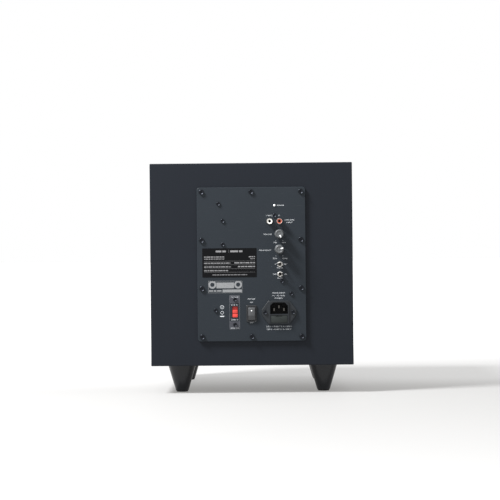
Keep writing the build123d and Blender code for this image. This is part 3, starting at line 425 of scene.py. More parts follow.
def circuit_finish():
    """Green solder mask over copper tracks, with tinned pads."""
    paint = Paint("circuit_board", (0.012, 0.1, 0.035), 0.35, specular=0.4)
    x, _, z = paint.split(paint.place((380, 1, 380)))
    warp = paint.noise(90.0, 1.0)
    tracks = paint.ramp((x + warp * 2.0).math("SINE") * (z + warp * 2.0).math("SINE"), 0.1, 0.2)
    pads = 1 - paint.ramp(paint.cells(260.0), 0.12, 0.16)
    colour = paint.mix(tracks * 0.5, paint.colour, (0.03, 0.19, 0.05, 1))
    return paint.done(
        paint.mix(pads, colour, (0.55, 0.55, 0.5, 1)),
        pads * -0.05 + 0.38,
        paint.bump(tracks * 0.4 + pads, 0.00006),
        Metallic=pads,
    )


def glass_finish():
    """Glass tube with the sand inside just showing."""
    paint = Paint("fuse_glass", (0.62, 0.64, 0.62), 0.12, specular=0.5, Coat_Weight=0.6)
    sand = paint.noise(2400.0, 3.0)
    return paint.done(paint.shade(sand, 0.75, 1.15), sand * 0.1 + 0.08, paint.bump(sand, 0.00002))


def laminated_core_finish():
    """Varnished steel sheets stacked edge on."""
    paint = Paint("core_laminations", (0.12, 0.1, 0.08), 0.45, 0.6, 0.5)
    _, y, _ = paint.split(paint.place())
    sheets = (y * (tau / 0.001)).math("SINE")
    varnish = paint.noise(90.0, 4.0)
    return paint.done(
        paint.shade(varnish * 0.8 + sheets * 0.2, 0.6, 1.3),
        varnish * 0.25 + 0.35,
        paint.bump(sheets, 0.00015),
    )


def inlet_finish(colour):
    """Moulding of the mains inlet: satin outside, with painted shade that makes the deep recess nearly black.
    """
    paint = Paint("inlet_moulding", colour, 0.38, specular=0.25)
    _, y, _ = paint.split(paint.place())
    # Painted shade: inside the recess, behind the panel's face, the moulding turns nearly black.
    outside = paint.ramp(y, PANEL_FACE - 0.005, PANEL_FACE + 0.002)
    fine = paint.noise(1800.0, 3.0)
    return paint.done(
        paint.mix(outside, (0.0012, 0.0012, 0.0014, 1), paint.shade(fine, 0.88, 1.12)),
        fine * 0.1 + 0.6 - outside * 0.25,
        paint.bump(fine, 0.00002),
    )


# Each finish: its name, colour, roughness, grain, depth of grain in metres and shine.
MOULDED_AND_PAINTED = {
    "switch": ("switch_moulding", (0.014, 0.015, 0.017), 0.4, 2000.0, 0.00002, 0.3),
    "rocker": ("rocker_plastic", (0.055, 0.057, 0.06), 0.36, 2100.0, 0.00002, 0.35),
    "drawer": ("drawer_plastic", (0.0165, 0.0205, 0.0195), 0.42, 1700.0, 0.00003, 0.25),
    "foot": ("foot_paint", (0.007, 0.008, 0.0105), 0.25, 700.0, 0.00002, 0.4),
    "rubber": ("black_rubber", (0.016, 0.016, 0.016), 0.8, 1300.0, 0.00006, 0.2),
    "surround": ("surround_rubber", (0.012, 0.012, 0.012), 0.5, 900.0, 0.00004, 0.3),
    "dome": ("dome_lacquer", (0.009, 0.009, 0.01), 0.22, 300.0, 0.00003, 0.5),
    "basket": ("basket_paint", (0.018, 0.018, 0.019), 0.42, 1200.0, 0.00006, 0.35),
    "grille": ("grille_moulding", (0.012, 0.012, 0.013), 0.6, 1400.0, 0.00005, 0.2),
    "ferrite": ("ferrite", (0.035, 0.035, 0.036), 0.6, 500.0, 0.0001, 0.35),
    "phenolic": ("phenolic_board", (0.12, 0.045, 0.02), 0.5, 900.0, 0.00005, 0.3),
    "red": ("socket_red", (0.42, 0.075, 0.032), 0.35, 1500.0, 0.00001, 0.4),
    "sleeve": ("can_sleeve", (0.02, 0.03, 0.09), 0.3, 400.0, 0.00002, 0.5),
    "moulding": ("black_moulding", (0.011, 0.0115, 0.0125), 0.45, 1900.0, 0.00003, 0.3),
}


def make_finishes(colours, sizes):
    """Every material by its plain name."""
    finishes = {
        "laminate": laminate_finish(colours.laminate),
        "panel": panel_finish(colours.panel),
        "ink": ink_finish("legend_ink", colours.ink),
        "grey_ink": ink_finish("small_print_ink", (0.13, 0.13, 0.135)),
        "label_ink": ink_finish("label_print_ink", (0.19, 0.19, 0.195)),
        "notice_ink": ink_finish("notice_block_ink", (0.2, 0.205, 0.21)),
        "border_ink": ink_finish("selector_border_ink", (0.15, 0.155, 0.17)),
        "field_ink": ink_finish("selector_field_ink", (0.04, 0.042, 0.052)),
        "label": label_finish(colours.label),
        "cloth": cloth_finish(colours.cloth, sizes.weave),
        "cone": cone_finish(colours.cone),
        "spider": spider_finish(),
        "board": board_finish(),
        "wadding": fibre_finish("polyester_wadding", (0.55, 0.55, 0.52)),
        "foam": fibre_finish("gasket_foam", (0.02, 0.02, 0.022)),
        "circuit": circuit_finish(),
        "glass": glass_finish(),
        "core": laminated_core_finish(),
        "pointer": ink_finish("pointer_ink", (0.86, 0.87, 0.87)),
        "inlet": inlet_finish((0.0125, 0.0148, 0.0175)),
        "knob": textured("knob_plastic", colours.knob, 0.32, 1500.0, 0.00002, specular=0.45),
        "selector": textured("selector_plastic", colours.selector, 0.4, 1800.0, 0.00002, specular=0.3),
        "lens": textured("lamp_lens", (0.88, 0.9, 0.92), 0.2, 600.0, 0.00001, 0.02, specular=0.5),
        "white": textured("socket_white", (0.84, 0.83, 0.78), 0.35, 1500.0, 0.00001, 0.03, specular=0.4),
        "insulation": textured("lead_insulation", (0.35, 0.02, 0.02), 0.45, 1500.0, 0.00002),
        "steel": metal_finish("zinc_steel", (0.5, 0.51, 0.52), 0.35),
        "nickel": metal_finish("nickel_plate", (0.84, 0.83, 0.8), 0.28, 0.0, 0.1),
        # The inlet's pins: plated metal darkened as painted shade, where they sit deep in the recess.
        "pin": metal_finish("pin_plate_painted_shade", (0.09, 0.087, 0.08), 0.4),
        "screw": metal_finish("black_zinc", (0.022, 0.024, 0.029), 0.4, 0.0, 0.05),
        "lever": metal_finish("dark_nickel", (0.1, 0.098, 0.095), 0.3),
        "brass": metal_finish("brass", (0.72, 0.5, 0.2), 0.3),
        "copper": metal_finish("enamelled_copper", (0.75, 0.3, 0.12), 0.3),
        "aluminium": metal_finish("mill_aluminium", (0.6, 0.61, 0.62), 0.35, 0.1),
    }
    for key, (name, colour, roughness, grain, depth, shine) in MOULDED_AND_PAINTED.items():
        finishes[key] = textured(name, colour, roughness, grain, depth, specular=shine)
    return finishes


CAD_FINISHES = {
    "laminate": (
        "cabinet_top", "cabinet_bottom", "cabinet_left", "cabinet_right", "front_baffle", "rear_board",
    ),
    "board": ("cabinet_brace",),
    "moulding": ("rca_block", "voltage_switch"),
    "rubber": ("foot_pads", "grille_cups"),
    "steel": ("foot_screws", "woofer_top_plate", "woofer_yoke", "volume_shaft", "frequency_shaft"),
    "grille": ("grille_frame",),
    "basket": ("woofer_basket",),
    "foam": ("woofer_gasket", "amp_gasket"),
    "copper": ("voice_coil",),
    "ferrite": ("woofer_magnet",),
    "phenolic": ("woofer_terminals",),
    "panel": ("amp_panel",),
    "label": ("rating_label",),
    "nickel": ("control_pots",),
    "pin": ("inlet_pins",),
    "glass": ("fuse",),
    "brass": ("pcb_spacers",),
    "circuit": ("main_pcb",),
    "sleeve": ("capacitors",),
    "aluminium": ("heatsink",),
    "core": ("transformer",),
    "insulation": ("speaker_leads",),
}
FINISHES = {}


def finish(name):
    """A finish by its plain name, all of them made at the first call."""
    if not FINISHES:
        scene = bpy.context.scene
        FINISHES.update(make_finishes(scene.subwoofer_colours, scene.subwoofer_sizes))
    return FINISHES[name]


def dress(name):
    """Give a finish to the frame's own nodes that keep their shape."""
    for node in CAD_FINISHES[name]:
        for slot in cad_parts[node].material_slots:
            slot.material = finish(name)


# ================================================================ mesh helpers, in millimetres before placing
def point_on(place, x, y, z):
    """A point given in millimetres on a place."""
    return place @ (Vector((x, y, z)) * MM)


def eased(points, radius, steps=4):
    """An open outline with each inner corner rounded off."""
    out = [Vector(points[0])]
    for before, corner, after in zip(points, points[1:], points[2:]):
        corner, before, after = Vector(corner), Vector(before), Vector(after)
        cut_in = min(radius, (before - corner).length * 0.48)
        cut_out = min(radius, (after - corner).length * 0.48)
        start = corner + (before - corner).normalized() * cut_in
        end = corner + (after - corner).normalized() * cut_out
        for i in range(steps + 1):
            t = i / steps
            out.append(start * (1 - t) ** 2 + corner * 2 * t * (1 - t) + end * t**2)
    out.append(Vector(points[-1]))
    return out


def turned(bm, outline, place, steps=48, shape=None, closed=False):
    """Turn an outline of (radius, height) about local Z; shape may alter a radius by height and angle."""
    rings = []
    for radius, height in outline:
        if radius < 1e-6:
            rings.append([bm.verts.new(point_on(place, 0, 0, height))])
            continue
        ring = []
        for i in range(steps):
            angle = tau * i / steps
            reach = shape(radius, height, angle) if shape else radius
            ring.append(bm.verts.new(point_on(place, reach * cos(angle), reach * sin(angle), height)))
        rings.append(ring)
    pairs = list(zip(rings, rings[1:]))
    if closed:
        pairs.append((rings[-1], rings[0]))
    for low, high in pairs:
        join_rings(bm, low, high)


def join_rings(bm, low, high):
    """Faces between two rings of points; one of them may be a single point."""
    count = max(len(low), len(high))
    for i in range(count):
        j = (i + 1) % count
        corners = [low[i % len(low)], low[j % len(low)], high[j % len(high)], high[i % len(high)]]
        bm.faces.new(dict.fromkeys(corners))


def prism(bm, outline, low, high, place, ease=0.0, segments=2):
    """Flat outline given thickness from low to high, its far edges rounded by ease."""
    base = [bm.verts.new(point_on(place, x, y, low)) for x, y in outline]
    top = [bm.verts.new(point_on(place, x, y, high)) for x, y in outline]
    join_rings(bm, base, top)
    bm.faces.new(list(reversed(base)))
    cap = bm.faces.new(top)
    if ease:
        bmesh.ops.bevel(
            bm, geom=list(cap.edges), offset=ease * MM, segments=segments, affect="EDGES", profile=0.5
        )


def rounded_box(width, height, radius=0.0, steps=4, at=(0, 0)):
    """Outline of a rectangle with rounded corners, counter-clockwise."""
    if radius <= 0:
        half_w, half_h = width / 2, height / 2
        corners = [(-half_w, -half_h), (half_w, -half_h), (half_w, half_h), (-half_w, half_h)]
        return [(x + at[0], y + at[1]) for x, y in corners]
    points = []
    for quarter, (sx, sy) in enumerate(((1, 1), (-1, 1), (-1, -1), (1, -1))):
        cx, cy = sx * (width / 2 - radius) + at[0], sy * (height / 2 - radius) + at[1]
        for i in range(steps + 1):
            angle = (quarter + i / steps) * pi / 2
            points.append((cx + radius * cos(angle), cy + radius * sin(angle)))
    return points


def polygon(radius, corners, at=(0, 0), turn=0.0):
    """Regular outline."""
    angles = [radians(turn) + tau * i / corners for i in range(corners)]
    return [(at[0] + radius * cos(a), at[1] + radius * sin(a)) for a in angles]


def linked(name, data):
    """A new object in the scene."""
    obj = bpy.data.objects.new(name, data)
    bpy.context.scene.collection.objects.link(obj)
    return obj


def turned_piece(
    name, outline, places, material, body="cabinet", stands_for=(), steps=48, closed=False
):
    """An outline turned at one or more places, as one finished object."""
    bm = bmesh.new()
    for place in places:
        turned(bm, outline, place, steps, closed=closed)
    return piece(name, bm, material, body, stands_for)


def piece(name, bm, material, body="cabinet", stands_for=(), sharp=32.0, recalc=True):
    """Close a mesh into a finished object that rides on a body."""
    bmesh.ops.remove_doubles(bm, verts=bm.verts, dist=1e-7)
    if recalc:
        bmesh.ops.recalc_face_normals(bm, faces=bm.faces)
    for face in bm.faces:
        face.smooth = True
    for edge in bm.edges:
        if len(edge.link_faces) == 2:
            edge.smooth = edge.calc_face_angle(0.0) < radians(sharp)
    mesh = bpy.data.meshes.new(name)
    bm.to_mesh(mesh)
    bm.free()
    mesh.materials.append(material)
    obj = linked(name, mesh)
    return settled(obj, body, stands_for)


def settled(obj, body="cabinet", stands_for=()):
    """Parent a finished object to its body's empty and hide the frame nodes it stands for."""
    if body:
        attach(obj, body)
    if stands_for:
        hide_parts(*stands_for)
    return obj


def softened(node, finish_name, body="cabinet", width=0.25, angle=30.0):
    """A copy of a frame node with its hard edges rounded, standing for that node."""
    bm = bmesh.new()
    bm.from_mesh(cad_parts[node].data)
    bmesh.ops.remove_doubles(bm, verts=bm.verts, dist=1e-6)
    bmesh.ops.dissolve_limit(bm, angle_limit=radians(0.6), verts=bm.verts, edges=bm.edges)
    edges = [e for e in bm.edges if len(e.link_faces) == 2 and e.calc_face_angle(0.0) > radians(angle)]
    bmesh.ops.bevel(
        bm, geom=edges, offset=width * MM, segments=2, affect="EDGES", profile=0.5, clamp_overlap=True
    )
    return piece(f"{node}_soft", bm, finish(finish_name), body, (node,), 40.0, False)


# ================================================================ places across and up on the panel
PANEL_SCREW_U = 71.0
PANEL_SCREW_ROWS = (-103.5, -34.5, 34.5, 103.5)
MODULE_SCREWS = (
    (33.4, 69.6), (-46.9, 86.8), (-40.9, 62.2), (-41.0, 28.5), (56.4, -42.5), (43.3, -24.4),
    (-51.8, -65.6), (-24.2, -50.2), (-24.2, -86.2),
)
INLET_SCREWS = ((18.7, -69.1), (58.7, -69.1))
INLET_FLANGE = 2.2
WOOFER_SCREW_R = 98.0
VOLUME = panel_spot("volume_knob")
FREQUENCY = panel_spot("frequency_knob")
PHASE = (40.6, -0.4)
AUTO = (40.6, -14.5)
LINE_LEFT = panel_spot("rca_white_insert")
LINE_RIGHT = panel_spot("rca_red_insert")
ROCKER = panel_spot("power_rocker")
ROCKER_MARK_UP = -66.4
SELECTOR = (-24.2, -68.2)
LABEL = panel_spot("rating_label")


# ================================================================ operators
class SUBWOOFER_OT_cabinet(bpy.types.Operator):
    """Finish the boards, the brace and the cabinet's own fittings"""

    bl_idname = "subwoofer.cabinet"
    bl_label = "Cabinet"

    def execute(self, context):
        for name in CAD_FINISHES:
            dress(name)
        return {"FINISHED"}


class SUBWOOFER_OT_feet(bpy.types.Operator):
    """Turn the four tapered feet"""

    bl_idname = "subwoofer.feet"
    bl_label = "Feet"

    TOP_R = 20.8
    BOTTOM_R = 9.2

    def execute(self, context):
        low, high = (Vector(corner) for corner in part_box("feet"))
        reach = self.TOP_R * MM
        outside = [(8.45, 1.5), (self.BOTTOM_R, 1.5), (self.TOP_R - 0.4, 39.2), (self.TOP_R - 0.4, 40.0)]
        outline = eased(outside, 0.9)
        outline += [Vector(p) for p in ((2.55, 40.0), (2.55, 14.0), (4.9, 14.0), (4.9, 3.0), (8.45, 3.0))]
        rows = (low.y + reach, high.y - reach)
        places = [upright(x, y) for x in (low.x + reach, high.x - reach) for y in rows]
        turned_piece(
            "feet_turned", outline, places, finish("foot"), "cabinet", ("feet",), 64, True
        )
        return {"FINISHED"}


class SUBWOOFER_OT_port(bpy.types.Operator):
    """Turn the reflex tube with its flared mouth"""

    bl_idname = "subwoofer.port"
    bl_label = "Port tube"

    def execute(self, context):
        centre = middle("port_tube")
        flare = [(26 + 8 * (1 - sin(a)), 8 * (1 - cos(a))) for a in (radians(7.5 * i) for i in range(13))]
        rim = [(41.2, 0.0), (42.0, 0.8), (42.0, 4.0), (29.0, 4.0), (29.0, 164.4), (28.4, 165.0)]
        outline = [(34.0, 0.0), *rim, (26.6, 165.0), (26.0, 164.4), *reversed(flare[1:])]
        places = [upright(centre.x, centre.y, CABINET_FOOT)]
        turned_piece(
            "port_tube_turned", outline, places, finish("moulding"), "cabinet",
            ("port_tube",), 72, True,
        )
        return {"FINISHED"}


def rounded_square(half, radius, per_side=24, per_corner=6):
    """Points of a rounded square as (x, z), always the same count, so that rings of them can be joined."""
    radius = max(radius, 0.05)
    straight = half - radius
    points = []
    for quarter in range(4):
        turn = quarter * pi / 2
        cx = straight * (1 if quarter in (0, 3) else -1)
        cz = straight * (1 if quarter in (0, 1) else -1)
        for i in range(per_corner + 1):
            angle = turn + i / per_corner * pi / 2
            points.append((cx + radius * cos(angle), cz + radius * sin(angle)))
        along = (-sin(turn + pi / 2), cos(turn + pi / 2))
        start = points[-1]
        for i in range(1, per_side):
            step = 2 * straight * i / per_side
            points.append((start[0] + along[0] * step, start[1] + along[1] * step))
    return points


class SUBWOOFER_OT_grille(bpy.types.Operator):
    """Stretch the acoustic cloth over the grille's frame and turn its hem behind"""

    bl_idname = "subwoofer.grille"
    bl_label = "Grille cloth"

    CORNER = 5.0
    HEM = 7.0
    DEPTH = 9.0  # of the frame
    OFF = 0.35  # from the frame to the middle of the cloth
    THICK = 0.5

    def path(self):
        """The cloth's section from the hem to the front, as (inset, depth from the frame's back)."""
        depth = self.DEPTH
        path = [(self.HEM - 2.0 * i, -self.OFF) for i in range(4)]
        path += [(0.3, -self.OFF), (-self.OFF + 0.1, -self.OFF + 0.1), (-self.OFF, 0.3)]
        path += [(-self.OFF, depth * share) for share in (0.25, 0.5, 0.72)]
        bend = 2.0 + self.OFF
        for i in range(6):
            angle = i / 5 * pi / 2
            path.append((2.0 - bend * cos(angle), depth - 2.0 + bend * sin(angle)))
        inner = [4, 8, 14, 24, 36, 50, 66, 84, 102, 120, 134]
        return path + [(inset, depth + self.OFF) for inset in inner]

    def execute(self, context):
        low, high = (Vector(corner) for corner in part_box("grille_frame"))
        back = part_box("grille_cloth")[1][1] + self.DEPTH * MM
        centre = middle("grille_frame")
        half = (high.x - low.x) / 2 / MM
        section = self.path()
        bm = bmesh.new()
        uv_layer = bm.loops.layers.uv.new("flat")
        flat, rings, run = {}, [], 0.0
        lengths = [hypot(a[0] - b[0], a[1] - b[1]) for a, b in zip(section, section[1:])]
        reach = sum(lengths) + half - section[-1][0]
        for k, (inset, depth) in enumerate(section):
            run += lengths[k - 1] if k else 0.0
            outline = rounded_square(half - inset, self.CORNER - inset)
            pattern = rounded_square(reach - run, self.CORNER + reach - run - half + inset)
            ring = []
            for (x, z), (u, v) in zip(outline, pattern):
                vert = bm.verts.new((centre.x + x * MM, back - depth * MM, centre.z + z * MM))
                flat[vert] = (u * MM, v * MM)
                ring.append(vert)
            rings.append(ring)
        hub = bm.verts.new((centre.x, back - (self.DEPTH + self.OFF) * MM, centre.z))
        flat[hub] = (0.0, 0.0)
        for outer, inner in zip(rings, rings[1:] + [[hub]]):
            join_rings(bm, outer, inner)
        bmesh.ops.recalc_face_normals(bm, faces=bm.faces)
        if sum(face.normal.y * face.calc_area() for face in bm.faces) > 0:
            bmesh.ops.reverse_faces(bm, faces=bm.faces)
        for face in bm.faces:
            for loop in face.loops:
                loop[uv_layer].uv = flat[loop.vert]
        cloth = piece(
            "grille_cloth_stretched", bm, finish("cloth"), "grille", ("grille_cloth",),
            50.0, False,
        )
        thickness = cloth.modifiers.new("thickness", "SOLIDIFY")
        thickness.thickness = self.THICK * MM
        thickness.offset = 0.0
        size = 2 * reach * MM
        return {"FINISHED"}


class SUBWOOFER_OT_woofer(bpy.types.Operator):
    """Turn the cone and its dust cap"""

    bl_idname = "subwoofer.woofer"
    bl_label = "Cone and cap"

    @staticmethod
    def curve(start, through, end, count):
        """Points of the arc through three points."""
        (ax, ay), (bx, by), (cx, cy) = start, through, end
        d = 2 * (ax * (by - cy) + bx * (cy - ay) + cx * (ay - by))
        a2, b2, c2 = ax * ax + ay * ay, bx * bx + by * by, cx * cx + cy * cy
        ux = (a2 * (by - cy) + b2 * (cy - ay) + c2 * (ay - by)) / d
        uy = (a2 * (cx - bx) + b2 * (ax - cx) + c2 * (bx - ax)) / d
        centre = Vector((ux, uy))
        radius = (Vector(start) - centre).length
        points = []
        for i in range(count + 1):
            chord = Vector(start).lerp(Vector(end), i / count)
            points.append(centre + (chord - centre).normalized() * radius)
        return points

    def execute(self, context):
        place = on_woofer()
        front = self.curve((70.0, 1.0), (41.75, 16.0), (19.5, 36.0), 28)
        back = [Vector((r, d + 1.0)) for r, d in reversed(front)]
        outline = [*front, *back, Vector((73.6, 2.0)), Vector((74.0, 1.6)), Vector((73.6, 1.0))]
        turned_piece(
            "woofer_cone_turned", outline, [place], finish("cone"), "cone", ("woofer_cone",),
            96, True,
        )
        dome = self.curve((0.0, 13.6), (17.6, 16.96), (30.6, 24.6), 20)
        under = [Vector((r * 0.965, d + 1.0)) for r, d in reversed(dome)]
        under[-1].x = 0.0
        turned_piece(
            "dust_cap_turned", [*dome, *under], [place], finish("dome"), "cone",
            ("woofer_dust_cap",), 72,
        )
        return {"FINISHED"}


def flexing_ring(name, outline, rest_r, moving_r, material, node):
    """A ring in sectors, each its own object; the points at rest_r on the cabinet and moving_r on the cone
    are worked out but not used.
    """
    place = on_woofer()
    sectors = bpy.context.scene.subwoofer_sizes.sectors
    steps = 5
    for k in range(sectors):
        bm = bmesh.new()
        slices = []
        for i in range(steps + 1):
            angle = tau * (k + i / steps) / sectors
            points = [Vector((r * cos(angle), r * sin(angle), d)) * MM for r, d in outline]
            slices.append([bm.verts.new(place @ point) for point in points])
        for low, high in zip(slices, slices[1:]):
            join_rings(bm, low, high)
        bm.faces.new(slices[0])
        bm.faces.new(list(reversed(slices[-1])))
        obj = piece(f"{name}_{k + 1:02d}", bm, material, None, (node,), 60.0)
        angle = tau * (k + 0.5) / sectors
        depth = sum(d for _, d in outline) / len(outline)
        start, end = (
            point_on(place, r * cos(angle), r * sin(angle), depth) for r in (rest_r, moving_r)
        )
        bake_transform(obj)


class SUBWOOFER_OT_suspension(bpy.types.Operator):
    """Make the woofer's surround and spider, each as a ring of sectors"""

    bl_idname = "subwoofer.suspension"
    bl_label = "Surround and spider"

    def execute(self, context):
        roll = [(79 + 6 * cos(a), 1 - 6 * sin(a)) for a in (radians(8 + 164 * i / 14) for i in range(15))]
        under = [(79 - 5.2 * cos(a), 1 - 5.2 * sin(a)) for a in (radians(180 * i / 14) for i in range(15))]
        rubber = [(92, 0.9), (91.6, 0.2), *roll, (70.3, 0.2), (70, 0.9), (70, 1.0), *under, (92, 1.0)]
        flexing_ring(
            "surround", rubber, 84.0, 73.8, finish("surround"), "woofer_surround"
        )
        inner, outer, waves, crest = 20.0, 47.0, 5, 1.4
        count = waves * 8
        front = []
        for i in range(count + 1):
            share = i / count
            front.append((inner + (outer - inner) * share, 44.0 - crest * sin(tau * waves * share)))
        front.append((56.0, 44.0))
        back = [(r, d + 1.0) for r, d in reversed(front)]
        flexing_ring(
            "spider", front + back, 54.0, 20.6, finish("spider"), "woofer_spider"
        )
        return {"FINISHED"}


def screw_blank(name, head_t):
    """A dished cross-recess screw of head radius 1, as a mesh object to scatter."""
    bm = bmesh.new()
    t = head_t
    outline = [(0, t * 0.62), (0.3, t * 0.6), (0.55, t * 0.62), (0.72, t * 0.76), (0.84, t * 0.97)]
    outline += [(0.9, t), (0.96, t * 0.93), (1.0, t * 0.7), (1.0, 0)]
    outline = [(r * 1000, h * 1000) for r, h in outline]
    outline += [(450, 0), (450, -1500), (0, -1500)]
    turned(bm, outline, Matrix.Identity(4), 28)
    bmesh.ops.recalc_face_normals(bm, faces=bm.faces)
    mesh = bpy.data.meshes.new(name)
    bm.to_mesh(mesh)
    bm.free()
    blank = linked(name, mesh)
    cutter_mesh = bpy.data.meshes.new(name + "_cross")
    bm = bmesh.new()
    top, floor = t * 620 + 80, t * 620 - 330
    for turn in (0, 90):
        place = Matrix.Rotation(radians(turn), 4, "Z")
        outline = rounded_box(960, 250)
        narrow = rounded_box(520, 180)
        base = [bm.verts.new(point_on(place, x, y, floor)) for x, y in narrow]
        rim = [bm.verts.new(point_on(place, x, y, top)) for x, y in outline]
        join_rings(bm, base, rim)
        bm.faces.new(list(reversed(base)))
        bm.faces.new(rim)
    bmesh.ops.recalc_face_normals(bm, faces=bm.faces)
    bm.to_mesh(cutter_mesh)
    bm.free()
    cutter = linked(name + "_cross", cutter_mesh)
    cut = blank.modifiers.new("recess", "BOOLEAN")
    cut.operation = "DIFFERENCE"
    cut.object = cutter
    cut.solver = "EXACT"
    cut.use_self = True
    baked = baked_mesh(blank)
    blank.modifiers.clear()
    blank.data = baked
    for polygon_ in blank.data.polygons:
        polygon_.use_smooth = True
    blank.data.set_sharp_from_angle(angle=radians(35))
    bpy.data.objects.remove(cutter)
    return blank


def baked_mesh(obj):
    """The mesh an object's modifiers give."""
    bpy.context.view_layer.update()
    graph = bpy.context.evaluated_depsgraph_get()
    return bpy.data.meshes.new_from_object(obj.evaluated_get(graph))


def scatter_tree(material):
    """Geometry nodes that put one screw at each point, each driven home at its own angle."""
    tree = bpy.data.node_groups.new("Screws at points", "GeometryNodeTree")
    for name, kind in (
        ("Points", "Geometry"), ("Screw", "Object"), ("Head radius", "Float"), ("Facing", "Vector"),
        ("Seed", "Int"),
    ):
        tree.interface.new_socket(name, in_out="INPUT", socket_type=f"NodeSocket{kind}")
    tree.interface.new_socket("Screws", in_out="OUTPUT", socket_type="NodeSocketGeometry")
    given, result, source, place, spin, angle, realize, paint = (
        tree.nodes.new(kind) for kind in (
            "NodeGroupInput", "NodeGroupOutput", "GeometryNodeObjectInfo", "GeometryNodeInstanceOnPoints",
            "GeometryNodeRotateInstances", "FunctionNodeRandomValue", "GeometryNodeRealizeInstances",
            "GeometryNodeSetMaterial",
        )
    )
    angle.data_type = "FLOAT_VECTOR"
    angle.inputs[0].default_value = (0, 0, 0)
    angle.inputs[1].default_value = (0, 0, tau)
    spin.inputs["Local Space"].default_value = True
    paint.inputs["Material"].default_value = material
    for start, output, end, socket in (
        (given, "Screw", source, "Object"), (given, "Points", place, "Points"),
        (source, "Geometry", place, "Instance"), (given, "Facing", place, "Rotation"),
        (given, "Head radius", place, "Scale"), (given, "Seed", angle, "Seed"),
        (place, "Instances", spin, "Instances"), (angle, "Value", spin, "Rotation"),
        (spin, "Instances", realize, "Geometry"), (realize, "Geometry", paint, "Geometry"),
        (paint, "Geometry", result, "Screws"),
    ):
        tree.links.new(start.outputs[output], end.inputs[socket])
    return tree


def scatter_screws(name, tree, points, head_r, facing, blank, node, seed):
    """One object with a screw at every point, standing for a frame node."""
    mesh = bpy.data.meshes.new(name)
    mesh.from_pydata([tuple(point) for point in points], [], [])
    obj = linked(name, mesh)
    scatter = obj.modifiers.new("screws", "NODES")
    scatter.node_group = tree
    values = {"Screw": blank, "Head radius": head_r, "Facing": facing, "Seed": seed}
    for item in tree.interface.items_tree:
        if item.in_out == "INPUT" and item.name in values:
            scatter[item.identifier] = values[item.name]
    obj.data = baked_mesh(obj)
    obj.modifiers.clear()
    obj.data.name = name
    if len(obj.data.polygons) < len(points) * 50:
        raise RuntimeError(f"{name}: the screws were not made")
    return settled(obj, "cabinet", (node,))


class SUBWOOFER_OT_screws(bpy.types.Operator):
    """Drive every cross-head screw on the panel and the woofer"""

    bl_idname = "subwoofer.screws"
    bl_label = "Screws"

    def execute(self, context):
        sizes = context.scene.subwoofer_sizes
        tree = scatter_tree(finish("screw"))
        blank = screw_blank("screw_blank", 0.6)
        rim = [(side * PANEL_SCREW_U, row) for side in (-1, 1) for row in PANEL_SCREW_ROWS]
        rim += [(0, PANEL_SCREW_ROWS[0]), (0, PANEL_SCREW_ROWS[-1])]
        rim = [on_panel(*point).translation for point in rim]
        modules = [on_panel(*point).translation for point in MODULE_SCREWS]
        modules += [on_panel(*point, INLET_FLANGE).translation for point in INLET_SCREWS]
        flange = []
        for i in range(8):
            angle = radians(22.5 + 45 * i)
            spot = Vector((WOOFER_SCREW_R * cos(angle), WOOFER_SCREW_R * sin(angle), 1.0))
            flange.append(on_woofer() @ (spot * MM))
        behind, ahead = (-pi / 2, 0, 0), (pi / 2, 0, 0)
        groups = (
            ("panel_screw_set", rim, sizes.panel_screw, behind, "panel_screws", 3),
            ("module_screw_set", modules, sizes.module_screw, behind, "module_screws", 8),
            ("woofer_screw_set", flange, sizes.woofer_screw, ahead, "woofer_screws", 5),
        )
        for name, points, head_r, facing, node, seed in groups:
            scatter_screws(name, tree, points, head_r, facing, blank, node, seed)
        bpy.data.objects.remove(blank)
        return {"FINISHED"}


